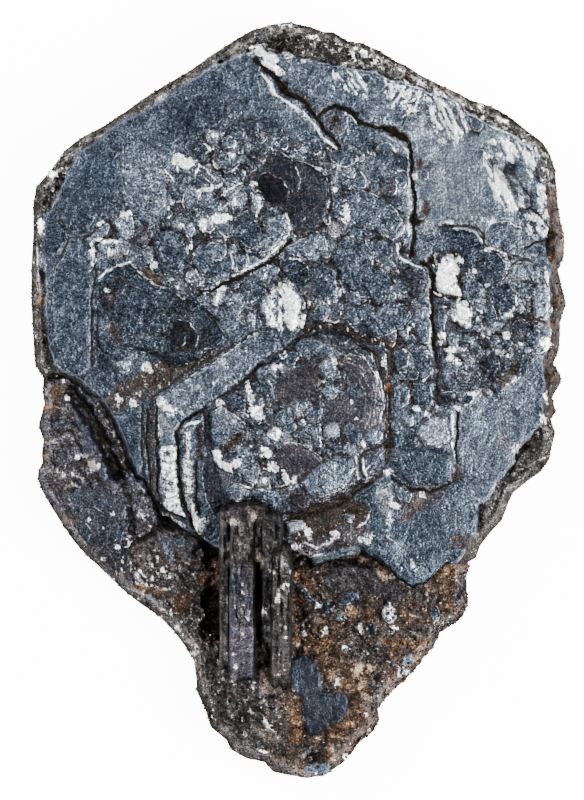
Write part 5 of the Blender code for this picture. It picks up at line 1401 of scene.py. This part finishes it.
# White spots of painted highlight on the root.
for x, y, across, down in (
    (303, 634, 4, 4), (287, 660, 1.8, 1.8), (324, 632, 3, 4), (345, 648, 4, 2), (346, 760, 4, 3),
    (298, 645, 2, 2), (394, 628, 3, 2), (366, 714, 2, 3), (336, 683, 3, 4), (318, 606, 3, 3),
    (293, 690, 2, 2), (262, 752, 3, 2),
):
    root.dab(x, y, across, down, hard=2, rise=0.08, gleam=1.0, drab=0.2, rust=-0.4, crevice=-0.4)
root.dab(268, 726, 6, 3, 0.7, 2, 0.08, gleam=1.2, rust=-0.3)
root.dab(345, 740, 50, 44, -0.6, 18, tone=-0.35)
for x, y, across, down in (
    (360, 672, 5, 10), (361, 685, 5, 6), (446, 571, 4, 7), (330, 748, 3, 6), (334, 758, 3, 4),
    (382, 575, 7, 6), (417, 648, 5, 4), (360, 711, 4, 4), (366, 698, 4, 3), (348, 724, 6, 3),
    (318, 740, 5, 3), (334, 736, 6, 3), (350, 757, 4, 7), (416, 660, 4, 4), (370, 668, 8, 4),
):
    root.dab(x, y, across, down, hard=2.5, rust=0.55, tone=1.15, crevice=-0.5, rise=0.12)
for x, y, across, down in (
    (345, 684, 5, 3), (330, 678, 4, 5), (396, 643, 12, 4), (296, 728, 5, 16), (352, 612, 6, 6),
    (404, 640, 4, 3),
):
    root.dab(x, y, across, down, hard=2.5, rust=1.0, tone=0.35, crevice=-0.3)
root.dab(463, 596, 8, 26, 0.1, 5, tone=-0.45, rust=-0.5, drab=-0.2)
root.dab(438, 640, 8, 12, 0.7, 5, tone=-0.2, rust=-0.2)
root.dab(137, 577, 9, 6, 0.5, 4, tone=0.25, crevice=-0.3, drab=-0.3)
root.dab(146, 590, 9, 6, 0.5, 4, rust=0.6)
root.crumbs("118,560 160,545 168,575 140,596", 319, 3, 0.12, tone=0.6, gleam=0.9, rust=0.3)
root.dab(195, 655, 2.4, 9, 0, 1.5, tone=1.0, crevice=-0.5)
root.crack("201,650 204,662 201,676", -0.05, 2, tone=0.8)
for groove in range(4):
    line = [(196 + 5 * groove, 650), (200 + 5 * groove, 690), (208 + 5 * groove, 726)]
    root.crack(line, 0.15, 2.5, crevice=0.4)
root.plate("238,724 250,722 262,728 262,738 250,736 240,730", 0.12, 3, 0.1, 0.15, rust=0.15, drab=0.9)
root.lobe(318, 770, 16, 9, 0.2, 0.2, -0.1)
rusty_root = body(
    "rusty_root", root, (300, 600), lambda x, y: 0.6 + 1.6 * ramp(y, 590, 190) + 0.15 * ripple(x, y, 9, 69),
    [(0.96, 0.2), (0.86, 0.9), (0.75, 0.1), (0.62, 1.4), (0.48, 1.0), (0.34, 3.4), (0.18, 5.0), (0.0, 11.0)],
    1.3, 71,
)
finish(rusty_root)

# ---- Blades --------------------------------------------------------------------------------------
# Two bundles of lumpy upright prisms of dull dark hematite, grown edge-on in front of the central hillock.
# Each is striated along its length, spotted with ochre, and sinks into the root at its foot.
section = [(0.0, 0.0), (0.0, 0.3), (0.0, 0.6), (0.02, 0.82), (0.06, 0.94)]
section += [(0.12 + 0.76 * k / 12, 1.0) for k in range(13)]
section += [(0.94, 0.94), (0.98, 0.82), (1.0, 0.6), (1.0, 0.3), (1.0, 0.0)]
wide = len(section)
base, full_height = 4.6, 15.2
ochre_spots = ((254, 515, 3.5, 6), (234, 521, 6, 4.5), (260, 560, 4, 9), (282, 561, 2, 8))
blade_spots, blade_faces = [], []
blade_paint = {key: [] for key in ("tone", "gleam", "rust", "crevice", "drab", "scaly")}
for number, (left, right, tall, top, foot, lean) in enumerate([
    (219.5, 236.0, 0.92, 504, 672, -0.3), (228.5, 256.5, 0.985, 501, 684, 0.2),
    (241.0, 268.0, 0.93, 500, 574, 0.0), (259.5, 283.0, 0.965, 509, 664, 0.0),
    (270.0, 291.5, 1.0, 540, 690, 0.4), (254.0, 266.0, 0.70, 560, 672, 0.0),
]):
    crest = full_height * tall
    where = np.concatenate([[0, 0.5, 1.5, 3.0], np.linspace(5, foot - top - 3, 84), [foot - top]]) + top
    along = [top, top + 1.5, top + 5, top + 16, top + 60, foot - 60, foot - 24, foot]
    crests = [crest - fall for fall in (3.4, 2.2, 0.9, 0.2, 0.3, 1.8)] + [min(9.8, crest - 2), 6.6]
    start = len(blade_spots)
    for sy, sz in zip(where, np.interp(where, along, crests)):
        tip = math.sqrt(max(0.0, 1 - max(0.0, 1 - (sy - top + 1.5) / 11) ** 2))
        middle, half = 0.5 * (left + right), 0.5 * (right - left) * max(tip, 0.35)
        sunk = min(1.0, max(0.0, (sy - foot + 70) / 70))
        for share, rise in section:
            z = base + (sz - base) * rise
            bulge = 0.7 * float(ripple(np.array(sy), np.array(z * 12.0), 14, 90 + number))
            x = middle + half * (2 * share - 1) + bulge + lean * max(0.0, z - 8) / 7
            spot_x, spot_y = np.array(x), np.array(sy)
            grooves = float(ripple(spot_x / 2.2, spot_y / 26, 1, 95))
            worn = float(0.6 * ripple(spot_x, spot_y, 7, 99) + 0.4 * ripple(spot_x, spot_y, 3.5, 98))
            z += (rise > 0.9) * (0.22 * grooves + 0.30 * worn)
            blade_spots.append(place(spot_x, spot_y, np.array(z)).tolist())
            ochre = 0.0
            for at_x, at_y, across, down in ochre_spots:
                ochre = max(ochre, min(1.0, 2.2 - 1.9 * math.hypot((x - at_x) / across, (sy - at_y) / down)))
            pale_side = max(0.0, 1 - abs(x - 231) / 3) + max(0.0, 1 - abs(x - 251) / 3) * (sy > 575)
            brown = max(0.0, min(1.0, 1.4 - math.hypot((x - 255) / 13, (sy - 506) / 8)))
            # Each prism's flanks are painted darker towards their foot as painted shade, and its worn top
            # carries painted highlights.
            for values, amount in zip(blade_paint.values(), (
                -0.22 + 0.32 * worn + 0.26 * grooves + 0.28 * pale_side + 1.5 * ochre,
                (rise > 0.9) * 1.1 * max(0.0, worn - 0.28) * (0.5 + 0.8 * (sy > 560)),
                0.06 + 0.3 * sunk * max(0.0, worn + 0.3) + 0.45 * ochre + 0.22 * brown,
                0.95 * (1 - rise) + 0.12 - 0.4 * ochre,
                0.9 - 0.3 * (230 < x < 252) * (sy > 565),
                0.25,
            )):
                values.append(amount)
    for row in range(len(where) - 1):
        for k in range(wide):
            a, b = start + row * wide + k, start + row * wide + (k + 1) % wide
            blade_faces.append((a, a + wide, b + wide, b))
    blade_faces.append(tuple(range(start, start + wide)))
    blade_faces.append(tuple(reversed(range(start + (len(where) - 1) * wide, start + len(where) * wide))))
upright_blades = solid("upright_blades", blade_spots, blade_faces, blade_paint, 50)
finish(upright_blades)

# ---- Grains --------------------------------------------------------------------------------------
# Sand-sized hematite crystals and rusty crumbs that cover the root, the rough shoulder and the side crystal,
# but not the groove behind it. They are scattered over the crystals with Geometry Nodes and made real.


def grain_shape(name, seed, squash):
    """One small blocky crystal about a millimetre across, its corners pushed about."""
    mesh = bpy.data.meshes.new(name)
    dice = np.random.default_rng(seed)
    corners, sides = [], 5
    for level, reach in ((-0.42, 0.75), (0.12, 1.0), (0.45, 0.62)):
        for k in range(sides):
            angle = k * math.tau / sides + dice.uniform(-0.2, 0.2)
            size = 0.0005 * reach * dice.uniform(0.8, 1.15)
            corners.append((size * math.cos(angle), size * math.sin(angle), 0.001 * level * squash))
    faces = [(4, 3, 2, 1, 0), (10, 11, 12, 13, 14)]
    for row in (0, sides):
        for k in range(sides):
            after = (k + 1) % sides
            faces.append((row + k, row + after, row + sides + after, row + sides + k))
    mesh.from_pydata(corners, [], faces)
    return bpy.data.objects.new(name, mesh)


def scatter_tree():
    """The node tree: points on the bed's faces where grit allows, a grain on each, then one mesh of them."""
    tree = bpy.data.node_groups.new("scatter_grains", "GeometryNodeTree")
    for name, kind in (
        ("Bed", "Geometry"), ("Grain", "Object"), ("Per square metre", "Float"), ("Smallest", "Float"),
        ("Largest", "Float"), ("Rustiest", "Float"), ("Seed", "Int"), ("Stone", "Material"),
    ):
        tree.interface.new_socket(name, in_out="INPUT", socket_type="NodeSocket" + kind)
    tree.interface.new_socket("Grains", in_out="OUTPUT", socket_type="NodeSocketGeometry")
    given, result = tree.nodes.new("NodeGroupInput").outputs, tree.nodes.new("NodeGroupOutput")

    def made(kind, sockets, **settings):
        fresh = tree.nodes.new(kind)
        for name, value in settings.items():
            setattr(fresh, name, value)
        for key, value in sockets.items():
            if isinstance(value, bpy.types.NodeSocket):
                tree.links.new(value, fresh.inputs[key])
            else:
                fresh.inputs[key].default_value = value
        return fresh.outputs

    random, least_turn, most_turn = "FunctionNodeRandomValue", (-0.9, -0.9, 0), (0.9, 0.9, 6.28)
    grit = made("GeometryNodeInputNamedAttribute", {"Name": "grit"})["Attribute"]
    density = made("ShaderNodeMath", {0: grit, 1: given["Per square metre"]}, operation="MULTIPLY")[0]
    sockets = {"Mesh": given["Bed"], "Density": density, "Seed": given["Seed"]}
    spread = made("GeometryNodeDistributePointsOnFaces", sockets)
    shape = made("GeometryNodeObjectInfo", {"Object": given["Grain"]})["Geometry"]
    size = made(random, {2: given["Smallest"], 3: given["Largest"], "Seed": given["Seed"]})[1]
    turn = made(random, {0: least_turn, 1: most_turn}, data_type="FLOAT_VECTOR")[0]
    flow = made("GeometryNodeInstanceOnPoints", {
        "Points": spread["Points"], "Instance": shape, "Rotation": turn, "Scale": size,
    })["Instances"]
    # Each grain gets its own random paint, and a few of them a painted highlight.
    for key, least, greatest in (
        ("tone", -0.6, 0.5), ("gleam", -4.0, 0.7), ("crevice", -0.25, 0.45), ("drab", 0.4, 1.2),
        ("rust", -0.5, given["Rustiest"]),
    ):
        value = made(random, {2: least, 3: greatest, "Seed": 3 * len(key) + ord(key[0])})[1]
        sockets = {"Name": key, "Geometry": flow, "Value": value}
        flow = made("GeometryNodeStoreNamedAttribute", sockets, domain="INSTANCE")["Geometry"]
    real = made("GeometryNodeRealizeInstances", {"Geometry": flow})["Geometry"]
    stony = made("GeometryNodeSetMaterial", {"Geometry": real, "Material": given["Stone"]})["Geometry"]
    tree.links.new(stony, result.inputs["Grains"])
    return tree


def scattered(name, bed, tree, settings):
    """The grains that the tree scatters over a bed, as a plain mesh object."""
    thing = bpy.data.objects.new(name, bed)
    bpy.context.scene.collection.objects.link(thing)
    modifier = thing.modifiers.new("scatter", "NODES")
    modifier.node_group = tree
    for socket in tree.interface.items_tree:
        if socket.name in settings:
            modifier[socket.identifier] = settings[socket.name]
    made = bpy.data.meshes.new_from_object(thing.evaluated_get(bpy.context.evaluated_depsgraph_get()))
    thing.modifiers.remove(modifier)
    thing.data = made
    made.name = name
    return thing


def bed_of(thing, grit):
    """A copy of a crystal's mesh with the share of grit at each point."""
    bed = thing.data.copy()
    spots = np.empty(len(bed.vertices) * 3)
    bed.vertices.foreach_get("co", spots)
    spots = spots.reshape(-1, 3)
    share = grit(spots[:, 0] / UNIT + CENTRE_X, CENTRE_Y - spots[:, 1] / UNIT, spots[:, 2] * 1000)
    bed.attributes.new("grit", "FLOAT", "POINT").data.foreach_set("value", share.astype("f"))
    return bed


SLATE = "290,656 318,660 325,688 345,690 352,703 344,720 318,738 304,736 299,700 286,676"
DARK_HOLLOW = "318,574 334,563 352,560 374,566 390,578 402,592 366,598 334,596 322,588"
SMOOTH_SIDE = (
    "66,402 80,406 94,424 106,448 118,478 128,510 126,540 92,548 68,520 72,488 88,470 76,430"
)
GROOVE = "68,388 91,418 110,454 125,492 131,534"


def on_root(x, y, z):
    """Grit over the whole front of the root, thin on its smooth patches and under the other crystals."""
    smooth = np.maximum(np.clip(depth(SLATE, x, y) / 3, 0, 1), np.clip(depth(DARK_HOLLOW, x, y) / 6, 0, 0.85))
    return (z > 4.0) * ramp(y, 556, 12) * (0.3 + 0.7 * ramp(x, 262, 30)) * (1 - smooth)


def on_shoulder(x, y, z):
    """Grit on the rough shoulder outside the main face."""
    return (z > 5.5) * np.clip(-depth(FACE, x, y) / 4, 0, 1) * np.clip((470 - y) / 20 + (x > 300), 0, 1)


def on_side(x, y, z):
    """Grit on the side crystal, but not on its smooth face or in the groove behind it."""
    bare = np.clip(away(GROOVE, x, y)[0] / 4 - 2.5, 0, 1) * (1 - np.clip(depth(SMOOTH_SIDE, x, y) / 3, 0, 1))
    return (z > 4.5) * bare * np.clip(1 + ripple(x, y, 14, 321), 0.1, 1)


tree = scatter_tree()
blocky, flat = grain_shape("blocky_grain", 5, 1.0), grain_shape("flat_grain", 6, 0.45)
for name, bed, grit, grain, crowd, largest, rustiest, seed in (
    ("root_grains", rusty_root, on_root, blocky, 3.6e6, 0.40, 1.3, 3),
    ("shoulder_grains", main_crystal, on_shoulder, flat, 3.0e6, 0.38, 0.25, 4),
    ("side_grains", side_crystal, on_side, flat, 2.0e6, 0.38, 0.35, 5),
):
    finish(scattered(name, bed_of(bed, grit), tree, {
        "Grain": grain, "Per square metre": crowd, "Smallest": 0.14, "Largest": largest, "Rustiest": rustiest,
        "Seed": seed, "Stone": hematite,
    }))
for shape in (blocky, flat):
    bpy.data.objects.remove(shape)

# ---- Stand ---------------------------------------------------------------------------------------
# A plain white table top, a soft light on each side of the specimen, and a long-lens camera above it.
table_mesh = bpy.data.meshes.new("table_top")
table_mesh.from_pydata([(-0.9, -0.9, 0), (0.9, -0.9, 0), (0.9, 0.9, 0), (-0.9, 0.9, 0)], [], [(0, 1, 2, 3)])
table_top = bpy.data.objects.new("table_top", table_mesh)
table_top.location.z = -0.0002
bpy.context.scene.collection.objects.link(table_top)
white = bpy.data.materials.new("white_table")
white.use_nodes = True
surface = white.node_tree.nodes["Principled BSDF"]
surface.inputs["Base Color"].default_value = (0.90, 0.90, 0.90, 1)
surface.inputs["Roughness"].default_value = 0.9
surface.inputs["Emission Color"].default_value = (1, 1, 1, 1)
surface.inputs["Emission Strength"].default_value = 12.0
table_mesh.materials.append(white)

world = bpy.data.worlds.new("studio")
world.use_nodes = True
world.node_tree.nodes["Background"].inputs["Color"].default_value = (0.97, 0.98, 1.0, 1)
world.node_tree.nodes["Background"].inputs["Strength"].default_value = 0.7
bpy.context.scene.world = world
for name, spot, size, power in (
    ("right_softbox", (0.38, -0.14, 0.45), 0.36, 9.5), ("upper_left_softbox", (-0.36, 0.26, 0.45), 0.36, 5.0),
):
    lamp = bpy.data.lights.new(name, "AREA")
    lamp.shape, lamp.size, lamp.energy = "SQUARE", size, power
    light = bpy.data.objects.new(name, lamp)
    light.location = spot
    light.rotation_euler = (-light.location).to_track_quat("-Z", "Y").to_euler()
    bpy.context.scene.collection.objects.link(light)

lens = bpy.data.cameras.new("camera")
lens.lens, lens.sensor_width, lens.sensor_fit = 256, 36, "AUTO"
camera = bpy.data.objects.new("camera", lens)
camera.location = (-0.0006, 0.0001, 0.607)
bpy.context.scene.collection.objects.link(camera)
bpy.context.scene.camera = camera
